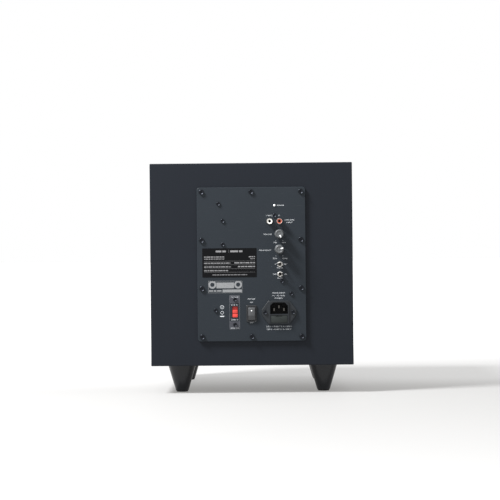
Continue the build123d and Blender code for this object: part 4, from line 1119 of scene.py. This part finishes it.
class Print:
    """Flat print built up in one mesh, in millimetres across and up on the panel."""

    def __init__(self, out=0.0):
        sizes = bpy.context.scene.subwoofer_sizes
        self.bm = bmesh.new()
        self.low = out - 0.02
        self.high = out + sizes.ink_thickness / MM
        self.cap = sizes.cap_height / MM

    def words(self, text, across, up, length, cap=None):
        """Words centred on a point, fitted to a length and a capital height."""
        curve = bpy.data.curves.new("words", "FONT")
        curve.body = text
        curve.resolution_u = 3
        holder = linked("words", curve)
        mesh = baked_mesh(holder)
        bpy.data.objects.remove(holder)
        xs = [v.co.x for v in mesh.vertices]
        ys = [v.co.y for v in mesh.vertices]
        wide, tall = length / (max(xs) - min(xs)), (cap or self.cap) / (max(ys) - min(ys))
        centre = Vector(((max(xs) + min(xs)) / 2, (max(ys) + min(ys)) / 2, 0))
        sub = bmesh.new()
        sub.from_mesh(mesh)
        bmesh.ops.remove_doubles(sub, verts=sub.verts, dist=1e-5)
        for vert in sub.verts:
            local = vert.co - centre
            vert.co = on_panel(across + local.x * wide, up + local.y * tall, self.high).translation
        for face in sub.faces:
            if face.normal.y < 0:
                face.normal_flip()
        grown = bmesh.ops.extrude_face_region(sub, geom=list(sub.faces))
        drop = Vector((0, (self.low - self.high) * MM, 0))
        for item in grown["geom"]:
            if isinstance(item, bmesh.types.BMVert):
                item.co += drop
        solid = bpy.data.meshes.new("words")
        sub.to_mesh(solid)
        sub.free()
        self.bm.from_mesh(solid)
        bpy.data.meshes.remove(solid)
        bpy.data.meshes.remove(mesh)

    def shape(self, outline):
        """A filled outline."""
        prism(self.bm, outline, self.low, self.high, on_panel(0, 0))

    def bar(self, left, right, up, height):
        self.shape(rounded_box(right - left, height, 0, at=((left + right) / 2, up)))

    def dot(self, across, up, radius):
        self.shape(polygon(radius, 20, (across, up)))

    def hoop(self, outer, inner):
        """The band between two outlines of equal count."""
        place = on_panel(0, 0)
        rings = []
        for outline, out in ((outer, self.low), (outer, self.high), (inner, self.high), (inner, self.low)):
            rings.append([self.bm.verts.new(point_on(place, x, y, out)) for x, y in outline])
        for low, high in zip(rings, rings[1:] + rings[:1]):
            join_rings(self.bm, low, high)

    def frame(self, across, up, width, height, line=0.3, radius=0.6):
        at = (across, up)
        outer = rounded_box(width, height, radius, at=at)
        inner = rounded_box(width - 2 * line, height - 2 * line, max(radius - line, 0.05), at=at)
        self.hoop(outer, inner)

    def ring(self, across, up, radius, line=0.35):
        self.hoop(polygon(radius, 28, (across, up)), polygon(radius - line, 28, (across, up)))

    def greeked(self, left, right, up, height, start=0):
        """A line of small print shown as word-long bars."""
        lengths = (3.1, 1.9, 4.3, 2.6, 1.2, 3.7, 2.2)
        at, i = left, start
        while at < right - 0.6:
            end = min(at + lengths[i % len(lengths)] * height, right)
            self.bar(at, end, up, height)
            at = end + 0.55 * height
            i += 1

    def done(self, name, finish_name, slot="panel_paint"):
        return piece(name, self.bm, finish(finish_name))


class SUBWOOFER_OT_legends(bpy.types.Operator):
    """Print the legends of the controls and sockets"""

    bl_idname = "subwoofer.legends"
    bl_label = "Legends"

    def execute(self, context):
        ink = Print()
        for words in (
            ("POWER", 42.2, 83.7, 9.8), ("L / MONO", 26.0, 69.4, 8.8), ("R", 40.1, 69.4, 1.5),
            ("LOW LEVEL", 55.0, 62.8, 14.0), ("INPUT", 55.0, 59.2, 8.3),
        ):
            ink.words(*words)
        ink.done("legends_inputs", "ink")
        ink = Print()
        for words in (
            ("VOLUME", 23.3, 42.5, 11.6), ("MIN", 34.4, 30.7, 4.6), ("MAX", 46.8, 30.6, 5.2),
            ("FREQUENCY", 19.8, 19.6, 17.0), ("50 Hz", 33.7, 8.0, 5.8), ("150 Hz", 47.8, 7.9, 7.0),
            ("0°", 34.6, -0.2, 2.6), ("180°", 48.6, -0.3, 5.0), ("PHASE", 40.4, -5.6, 8.4),
            ("OFF", 33.1, -14.7, 5.0), ("ON", 48.3, -14.8, 4.0), ("AUTO", 40.3, -20.1, 7.2),
        ):
            ink.words(*words)
        for centre in (VOLUME, FREQUENCY):
            for side in (-5, 5):
                ink.dot(centre[0] + side, centre[1] - 9.4, 0.35)
        ink.done("legends_controls", "ink")
        field = Print(-0.03)
        for rise in (-50.2, -86.9):
            field.bar(-31.6, -17.8, rise, 11.0)
        field.done("selector_field", "field_ink")
        border = Print()
        border.frame(-24.7, -68.5, 14.5, 48.4, 0.26)
        border.done("selector_border", "border_ink")
        ink = Print()
        for words in (
            ("MAINS INPUT", 38.4, -41.4, 17.7), ("AC ~ 50 / 60 Hz", 38.4, -45.2, 18.0),
            ("FUSED", 38.4, -48.9, 11.0), ("115 V ~ FUSE T 2 A / 250 V", 38.5, -89.3, 36.0),
            ("230 V ~ FUSE T 1 A / 250 V", 38.5, -93.3, 35.0), ("POWER", -0.5, -49.7, 10.6),
            ("ON", -0.5, -54.4, 3.8), ("OFF", -0.5, -83.6, 5.0), ("VOLTAGE", -24.7, -46.9, 11.0, 1.5),
            ("115 V", -24.7, -58.0, 9.6), ("230 V", -24.7, -79.2, 10.2),
            ("SELECTOR", -24.7, -91.1, 11.4, 1.5),
        ):
            ink.words(*words)
        ink.ring(-42.6, -61.0, 2.7, 0.5)
        ink.bar(-44.0, -41.2, -61.0, 0.55)
        ink.ring(-42.6, -69.0, 2.3, 0.5)
        ink.bar(-45.6, -39.6, -74.2, 1.6)
        ink.done("legends_mains", "ink")
        return {"FINISHED"}


class SUBWOOFER_OT_notices(bpy.types.Operator):
    """Print the plain notice block and the rating label's bars"""

    bl_idname = "subwoofer.notices"
    bl_label = "Notice and rating label"

    NOTICE = (-37.8, -32.2, 48.4, 17.1)
    LABEL_PROUD = 0.2

    def execute(self, context):
        across, up, width, height = self.NOTICE
        ink = Print()
        ink.frame(across, up, width, height, 0.35, 0.3)
        ink.bar(across - 12.6, across + 12.6, up + 2.2, 8.2)
        for side in (-1, 1):
            centre = (across + side * 18.4, up + 3.2)
            ink.hoop(polygon(5.6, 28, centre), polygon(3.0, 28, centre))
        ink.bar(across - 4.0, across + 23.6, up - 5.6, 3.8)
        ink.greeked(across - 23.4, across - 5.4, up - 5.6, 1.9)
        ink.done("notice_block", "notice_ink")
        grey = Print(self.LABEL_PROUD)
        left, right = LABEL[0] - 36.3, LABEL[0] + 36.5
        for rise in (2.4, -2.9, -8.4, -13.5):
            grey.bar(left, right, LABEL[1] + rise, 0.25)
        grey.bar(LABEL[0] - 1.35, LABEL[0] - 1.1, LABEL[1] + 16.3, 4.4)
        grey.greeked(LABEL[0] - 24.4, LABEL[0] + 25.2, LABEL[1] - 17.2, 1.3, 2)
        grey.done("label_rules", "grey_ink", "label_film")
        bright = Print(self.LABEL_PROUD)
        for first, last, rise, tall, start in (
            (-19.5, -3.7, 16.3, 2.6, 0), (1.2, 18.6, 16.3, 2.6, 2), (-36.3, -7.4, 8.4, 1.35, 1),
            (-36.3, -7.4, 5.5, 1.1, 4), (27.7, 36.5, 8.4, 1.5, 3), (29.5, 36.5, 5.5, 0.9, 0),
            (-36.3, 1.2, -0.4, 1.35, 5), (7.0, 36.5, -0.2, 1.6, 2), (-36.3, 2.0, -5.8, 1.35, 3),
            (12.0, 36.5, -5.6, 1.6, 6), (-36.3, -2.0, -11.2, 1.35, 0),
        ):
            bright.greeked(LABEL[0] + first, LABEL[0] + last, LABEL[1] + rise, tall, start)
        bright.done("label_print", "label_ink", "label_film")
        return {"FINISHED"}


class SUBWOOFER_OT_line_inputs(bpy.types.Operator):
    """Turn the plated line sockets and their coloured inserts"""

    bl_idname = "subwoofer.line_inputs"
    bl_label = "Line inputs"

    BEHIND = -8.5  # how far the barrels reach behind the panel's face
    PROUD = 8.5

    def execute(self, context):
        low, high = self.BEHIND, self.PROUD
        places = [on_panel(*spot) for spot in (LINE_LEFT, LINE_RIGHT)]
        shell = [(3.5, low), (3.9, low), (3.9, 0.6), (4.15, 0.6), (4.15, 1.2), (3.95, 1.4), (4.15, 1.6)]
        shell += [(4.15, high - 1.6), (4.1, high - 0.35), (3.9, high), (3.68, high), (3.5, high - 0.25)]
        turned_piece(
            "line_shells", shell, places, finish("nickel"), "cabinet", ("rca_shells",), closed=True
        )
        insert = [(1.7, -2.5), (3.5, -2.5), (3.5, high - 0.75), (3.3, high - 0.5), (1.95, high - 0.5)]
        insert += [(1.7, high - 0.75)]
        back = [(0, -8.5), (3.5, -8.5), (3.5, -2.5), (0, -2.5)]
        # Black lining and lip in each socket's bore: painted shade that makes the hole read dark and wider.
        bore_shade_lining = [(0, -2.45), (1.72, -2.45), (1.72, high - 0.62), (2.15, high - 0.49), (2.15, high - 0.44)]
        bore_shade_lining += [(1.72, high - 0.52), (1.62, high - 0.7), (1.62, -2.3), (0, -2.3)]
        turned_piece("line_liners", bore_shade_lining, places, finish("moulding"), steps=40)
        for spot, name, tone, slot, node in (
            (LINE_LEFT, "line_insert_left", "white", "rca_white", "rca_white_insert"),
            (LINE_RIGHT, "line_insert_right", "red", "rca_red", "rca_red_insert"),
        ):
            bm = bmesh.new()
            turned(bm, insert, on_panel(*spot), 40, closed=True)
            turned(bm, back, on_panel(*spot), 40)
            piece(name, bm, finish(tone), "cabinet", (node,))
        return {"FINISHED"}


class SUBWOOFER_OT_knobs(bpy.types.Operator):
    """Make the two fluted knobs, each with a white pointer"""

    bl_idname = "subwoofer.knobs"
    bl_label = "Knobs"

    RADIUS = 6.9
    TOP_RADIUS = 5.5
    TOP = 15.0
    BASE = 2.8
    FLUTE_R = 0.75

    def side(self, height):
        """Radius of the tapered side at a height."""
        share = (height - self.BASE) / (self.TOP - self.BASE)
        return self.RADIUS + (self.TOP_RADIUS - self.RADIUS) * share

    def fluted(self, radius, height, angle):
        """Radius with the flutes cut out of the knob's side."""
        flutes = bpy.context.scene.subwoofer_sizes.flutes
        if radius < self.side(height) - 0.1 or height > self.TOP - 1.6:
            return radius
        pitch = tau / flutes
        off = abs((angle + pitch / 2) % pitch - pitch / 2) * radius
        if off >= self.FLUTE_R:
            return radius
        fade = min(1.0, (self.TOP - 1.6 - height) / 1.2)
        return radius - sqrt(self.FLUTE_R**2 - off**2) * 0.7 * fade

    def pointer(self, spot, turn):
        """White bar across the top and a little way down the side."""
        bm = bmesh.new()
        place = on_panel(*spot, 0, turn)
        prism(bm, rounded_box(3.6, 1.5, 0.3, at=(3.7, 0)), self.TOP - 0.8, self.TOP + 0.02, place, 0.12)
        outer = [(self.side(height) + 0.04, height) for height in (10.0, 13.0, self.TOP - 0.5)]
        section = [*outer, (self.TOP_RADIUS - 0.2, self.TOP - 0.05)]
        section += [(self.TOP_RADIUS - 0.7, self.TOP - 0.4), (self.side(10.0) - 0.6, 10.0)]
        rings = []
        for across in (-0.7, 0.7):
            rings.append([bm.verts.new(point_on(place, r, across, height)) for r, height in section])
        join_rings(bm, rings[0], rings[1])
        for ring in rings:
            bm.faces.new(ring)
        return bm

    def execute(self, context):
        flutes = context.scene.subwoofer_sizes.flutes
        top, rim = self.TOP, self.TOP_RADIUS
        outline = [(4.1, self.BASE + 2.9), (4.1, self.BASE), (self.side(3.0) - 0.15, self.BASE)]
        outline += [(self.side(height), height) for height in (3.0, 6.0, 9.0, 12.2, 12.8, top - 1.6)]
        outline += [(rim + 0.02, top - 0.7), (rim - 0.12, top - 0.3), (rim - 0.4, top - 0.06)]
        outline += [(rim - 0.7, top), (4.3, top), (4.1, top - 0.12), (3.9, top - 0.5)]
        outline += [(2.7, top - 0.55), (2.4, top - 0.75)]
        outline += [(2.1, top - 0.55), (0, top - 0.45)]
        for spot, pointer, body, node in (
            (VOLUME, -66.0, "volume_control", "volume_knob"),
            (FREQUENCY, 20.0, "frequency_control", "frequency_knob"),
        ):
            bm = bmesh.new()
            place = on_panel(*spot)
            turned(bm, outline, place, flutes * 8, self.fluted)
            hub = bm.verts.new(point_on(place, 0, 0, self.BASE + 2.9))
            for edge in [e for e in bm.edges if e.is_boundary]:
                bm.faces.new((*edge.verts, hub))
            piece(f"{node}_fluted", bm, finish("knob"), body, (node,))
            piece(f"{node}_pointer", self.pointer(spot, pointer), finish("pointer"), body)
        return {"FINISHED"}


class SUBWOOFER_OT_toggles(bpy.types.Operator):
    """Make the toggle switches, their levers and the nuts on the panel"""

    bl_idname = "subwoofer.toggles"
    bl_label = "Toggles and nuts"

    BUSH_R = 3.0
    PROUD = 5.5

    def thread(self):
        """Outline of a threaded bush from behind the panel to its mouth."""
        outline = [(2.35, -3.5), (self.BUSH_R, -3.5)]
        height = 2.2
        outline.append((self.BUSH_R, height))
        while height < self.PROUD - 0.7:
            outline += [(self.BUSH_R - 0.22, height + 0.2), (self.BUSH_R, height + 0.4)]
            height += 0.5
        outline += [(self.BUSH_R - 0.1, self.PROUD - 0.2), (2.75, self.PROUD), (2.55, self.PROUD)]
        return outline + [(2.35, self.PROUD - 1.2)]

    def execute(self, context):
        bm = bmesh.new()
        for spot in (PHASE, AUTO):
            place = on_panel(*spot)
            turned(bm, self.thread(), place, 36, closed=True)
            prism(bm, rounded_box(12.5, 7.0, 0.4), -11.5, -3.5, place, 0.3)
        piece("toggle_bushes", bm, finish("nickel"), "cabinet", ("toggle_bodies",))
        bm = bmesh.new()
        for spot, bore, corner in (
            (VOLUME, 3.55, 5.4), (FREQUENCY, 3.55, 5.4), (PHASE, 3.05, 4.3), (AUTO, 3.05, 4.3),
        ):
            self.nut(bm, on_panel(*spot), bore, corner)
        piece("hex_nuts", bm, finish("nickel"), "cabinet", ("control_nuts",))
        for spot, tilt, body, node in (
            (PHASE, -12.0, "phase_toggle", "phase_lever"), (AUTO, 12.0, "auto_toggle", "auto_lever")
        ):
            place = on_panel(*spot, 0.5) @ Matrix.Rotation(radians(tilt), 4, "Y")
            ball = [(2.0 * sin(a), -2.0 * cos(a)) for a in (radians(30 + 10 * i) for i in range(13))]
            outline = [(0, -4.0), (0.8, -4.0), (1.0, -3.8), *ball]
            outline += [(1.05, 2.2), (1.45, 11.2), (1.4, 11.9), (1.1, 12.35), (0.6, 12.5), (0, 12.5)]
            turned_piece(f"{node}_bat", outline, [place], finish("lever"), body, (node,), 32)
        return {"FINISHED"}

    @staticmethod
    def nut(bm, place, bore, corner):
        """Hexagon nut with its corners turned down."""
        rings = []
        flat = corner * cos(pi / 6)
        for height, share in ((0.0, 1.0), (1.55, 1.0), (2.0, 0.0)):
            ring = []
            for i in range(36):
                angle = tau * i / 36
                edge = flat / cos((angle + pi / 6) % (pi / 3) - pi / 6)
                reach = edge if share else min(edge, flat * 0.98)
                ring.append(bm.verts.new(point_on(place, reach * cos(angle), reach * sin(angle), height)))
            rings.append(ring)
        for radius, height in ((bore + 0.25, 2.0), (bore, 1.75), (bore, 0.0)):
            ring = []
            for i in range(36):
                angle = tau * i / 36
                ring.append(bm.verts.new(point_on(place, radius * cos(angle), radius * sin(angle), height)))
            rings.append(ring)
        for low, high in zip(rings, rings[1:] + rings[:1]):
            join_rings(bm, low, high)


class SUBWOOFER_OT_power_lamp(bpy.types.Operator):
    """Turn the power lamp's lens"""

    bl_idname = "subwoofer.power_lamp"
    bl_label = "Power lamp"

    def execute(self, context):
        dome = [(1.5 * cos(a), 1.2 * sin(a)) for a in (radians(10 * i) for i in range(10))]
        dome[-1] = (0, 1.2)
        outline = [(0, -7.5), (2.0, -7.5), (2.0, -2.5), (1.5, -2.5), *dome]
        places = [on_panel(*panel_spot("power_led"))]
        turned_piece("lamp_lens", outline, places, finish("lens"), "cabinet", ("power_led",), 32)
        return {"FINISHED"}


class SUBWOOFER_OT_switches(bpy.types.Operator):
    """Round the edges of the voltage selector, the power switch and its rocker, and mark the rocker"""

    bl_idname = "subwoofer.switches"
    bl_label = "Selector and power switch"

    def execute(self, context):
        softened("voltage_slider", "selector", "selector", 0.3)
        softened("power_switch", "switch", width=0.25)
        softened("power_rocker", "rocker", "rocker", 0.3)
        outline = [(0, 4.52), (0.75, 4.52), (0.9, 4.43), (0.9, 4.03), (0, 4.03)]
        places = [on_panel(ROCKER[0], ROCKER_MARK_UP)]
        turned_piece("rocker_mark", outline, places, finish("pointer"), "rocker", steps=24)
        return {"FINISHED"}


class SUBWOOFER_OT_mains_inlet(bpy.types.Operator):
    """Round the edges of the mains inlet and its fuse drawer"""

    bl_idname = "subwoofer.mains_inlet"
    bl_label = "Mains inlet"

    def execute(self, context):
        softened("inlet_housing", "inlet", width=0.3)
        softened("fuse_drawer", "drawer", "drawer", 0.3)
        return {"FINISHED"}


class SUBWOOFER_OT_wadding(bpy.types.Operator):
    """Make the acoustic wadding under the top board"""

    bl_idname = "subwoofer.wadding"
    bl_label = "Wadding"

    def execute(self, context):
        low, high = (Vector(corner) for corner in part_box("acoustic_wadding"))
        size = high - low
        nx, ny = 60, 34
        bm = bmesh.new()

        def height(u, v):
            """Share of the full thickness: soft edges, low hills and hollows."""
            edge = min(1.0, 6 * min(u, 1 - u) + 0.02) * min(1.0, 4 * min(v, 1 - v) + 0.02)
            hills = 0.05 * sin(23 * u + 3 * v) + 0.04 * sin(17 * v - 9 * u) + 0.03 * sin(41 * u * v + 5)
            return edge**0.35 * (0.88 + hills)

        sheets = []
        for under in (False, True):
            rows = []
            for j in range(ny + 1):
                row = []
                for i in range(nx + 1):
                    u, v = i / nx, j / ny
                    drop = size.z * (height(u, v) if under else 0.02)
                    row.append(bm.verts.new((low.x + size.x * u, low.y + size.y * v, high.z - drop)))
                rows.append(row)
            for a, b in zip(rows, rows[1:]):
                for i in range(nx):
                    bm.faces.new((a[i], a[i + 1], b[i + 1], b[i]))
            edge = rows[0][:-1] + [r[-1] for r in rows[:-1]] + rows[-1][:0:-1] + [r[0] for r in rows[:0:-1]]
            sheets.append(edge)
        join_rings(bm, sheets[0], sheets[1])
        wadding = piece(
            "wadding_pad", bm, finish("wadding"), "cabinet", ("acoustic_wadding",), 80.0
        )
        return {"FINISHED"}


class SUBWOOFER_OT_stage(bpy.types.Operator):
    """Set the camera, the lights, the room and the floor"""

    bl_idname = "subwoofer.stage"
    bl_label = "Studio"

    AIM_ACROSS = 0.002
    KEY_FROM = (0.56, 0.27, 0.75)
    KEY_DISTANCE = 2.0
    KEY_SIZE = 0.5
    FLOOR_RADIUS = 25.0
    # Glow of the floor near the cabinet: painted light that lifts the shadows there.
    PAINTED_SHADOW_FILL_GLOW = (0.285, 0.28, 0.272, 1)

    def execute(self, context):
        scene = context.scene
        studio = scene.subwoofer_studio
        scene.view_settings.view_transform = "Standard"
        aim = Vector((self.AIM_ACROSS, REAR_FACE, studio.height))
        turn = studio.azimuth
        camera_data = bpy.data.cameras.new("camera")
        camera_data.lens = studio.lens
        camera_data.clip_end = 60.0
        camera = bpy.data.objects.new("camera", camera_data)
        camera.location = aim + Vector((-sin(turn), cos(turn), 0)) * studio.distance
        facing = (aim - camera.location).to_track_quat("-Z", "Y").to_matrix()
        camera.rotation_euler = (facing @ Matrix.Rotation(studio.roll, 3, "Z")).to_euler()
        scene.collection.objects.link(camera)
        scene.camera = camera
        key_data = bpy.data.lights.new("key", "AREA")
        key_data.shape = "DISK"
        key_data.size = self.KEY_SIZE
        key_data.energy = studio.key_power
        key = bpy.data.objects.new("key", key_data)
        key.location = aim + Vector(self.KEY_FROM).normalized() * self.KEY_DISTANCE
        key.rotation_euler = (aim - key.location).to_track_quat("-Z", "Y").to_euler()
        scene.collection.objects.link(key)
        world = bpy.data.worlds.new("white_room")
        world.use_nodes = True
        room = world.node_tree.nodes["Background"]
        room.inputs["Color"].default_value = (1.0, 1.0, 1.0, 1.0)
        room.inputs["Strength"].default_value = studio.surround_light
        scene.world = world
        self.floor()
        return {"FINISHED"}

    def floor(self):
        """A pale floor with a faint mottle and a painted glow: the glow grows with distance, so that the
        floor has no visible edge, and grows behind the cabinet, painted light that lifts the cabinet's shadow
        there.
        """
        bm = bmesh.new()
        bmesh.ops.create_circle(bm, cap_ends=True, radius=self.FLOOR_RADIUS, segments=96)
        mesh = bpy.data.meshes.new("floor")
        bm.to_mesh(mesh)
        bm.free()
        paint = Paint("floor_paper", (0.2, 0.2, 0.2), 0.7, specular=0.05, Emission_Strength=1.0)
        mottle = paint.noise(6.0, 3.0)
        x, y, _ = paint.split(paint.place())
        away = paint.ramp((x * x + y * y) ** 0.5, 0.35, 2.4)
        # Painted light: the floor glows more behind the cabinet, lifting its cast shadow.
        painted_fill_behind = paint.ramp(y * -1, 0.1, 1.1).math("MAXIMUM", paint.ramp(y * -1, -0.11, 0.12) * 0.25)
        painted_glow = away.math("MAXIMUM", painted_fill_behind)
        mesh.materials.append(
            paint.feed(
                **{
                    "Base Color": paint.shade(mottle, 0.995, 1.005),
                    "Emission Color": paint.mix(painted_glow, self.PAINTED_SHADOW_FILL_GLOW, (1, 1, 1, 1)),
                }
            )
        )
        floor = linked("floor", mesh)


OPERATORS = (
    SUBWOOFER_OT_stage,
    SUBWOOFER_OT_cabinet,
    SUBWOOFER_OT_feet,
    SUBWOOFER_OT_port,
    SUBWOOFER_OT_grille,
    SUBWOOFER_OT_woofer,
    SUBWOOFER_OT_suspension,
    SUBWOOFER_OT_screws,
    SUBWOOFER_OT_legends,
    SUBWOOFER_OT_notices,
    SUBWOOFER_OT_line_inputs,
    SUBWOOFER_OT_knobs,
    SUBWOOFER_OT_toggles,
    SUBWOOFER_OT_power_lamp,
    SUBWOOFER_OT_switches,
    SUBWOOFER_OT_mains_inlet,
    SUBWOOFER_OT_wadding,
)


GROUPS = {
    "subwoofer_colours": SubwooferColours,
    "subwoofer_sizes": SubwooferSizes,
    "subwoofer_studio": SubwooferStudio,
}


class SUBWOOFER_PT_build(bpy.types.Panel):
    """Sizes, colours and the steps that make each piece"""

    bl_idname = "SUBWOOFER_PT_build"
    bl_label = "Compact Subwoofer"
    bl_space_type = "VIEW_3D"
    bl_region_type = "UI"
    bl_category = "Subwoofer"

    def draw(self, context):
        column = self.layout.column(align=True)
        for name, group in GROUPS.items():
            for key in group.__annotations__:
                column.prop(getattr(context.scene, name), key)
            column.separator()
        for operator in OPERATORS:
            column.operator(operator.bl_idname)


def register():
    for cls in (*GROUPS.values(), *OPERATORS, SUBWOOFER_PT_build):
        bpy.utils.register_class(cls)
    for name, group in GROUPS.items():
        setattr(bpy.types.Scene, name, PointerProperty(type=group))


def unregister():
    for name in GROUPS:
        delattr(bpy.types.Scene, name)
    for cls in reversed((*GROUPS.values(), *OPERATORS, SUBWOOFER_PT_build)):
        bpy.utils.unregister_class(cls)


def main():
    """Make every piece in order."""
    register()
    for operator in OPERATORS:
        category, name = operator.bl_idname.split(".")
        getattr(getattr(bpy.ops, category), name)()


if __name__ == "__main__":
    main()
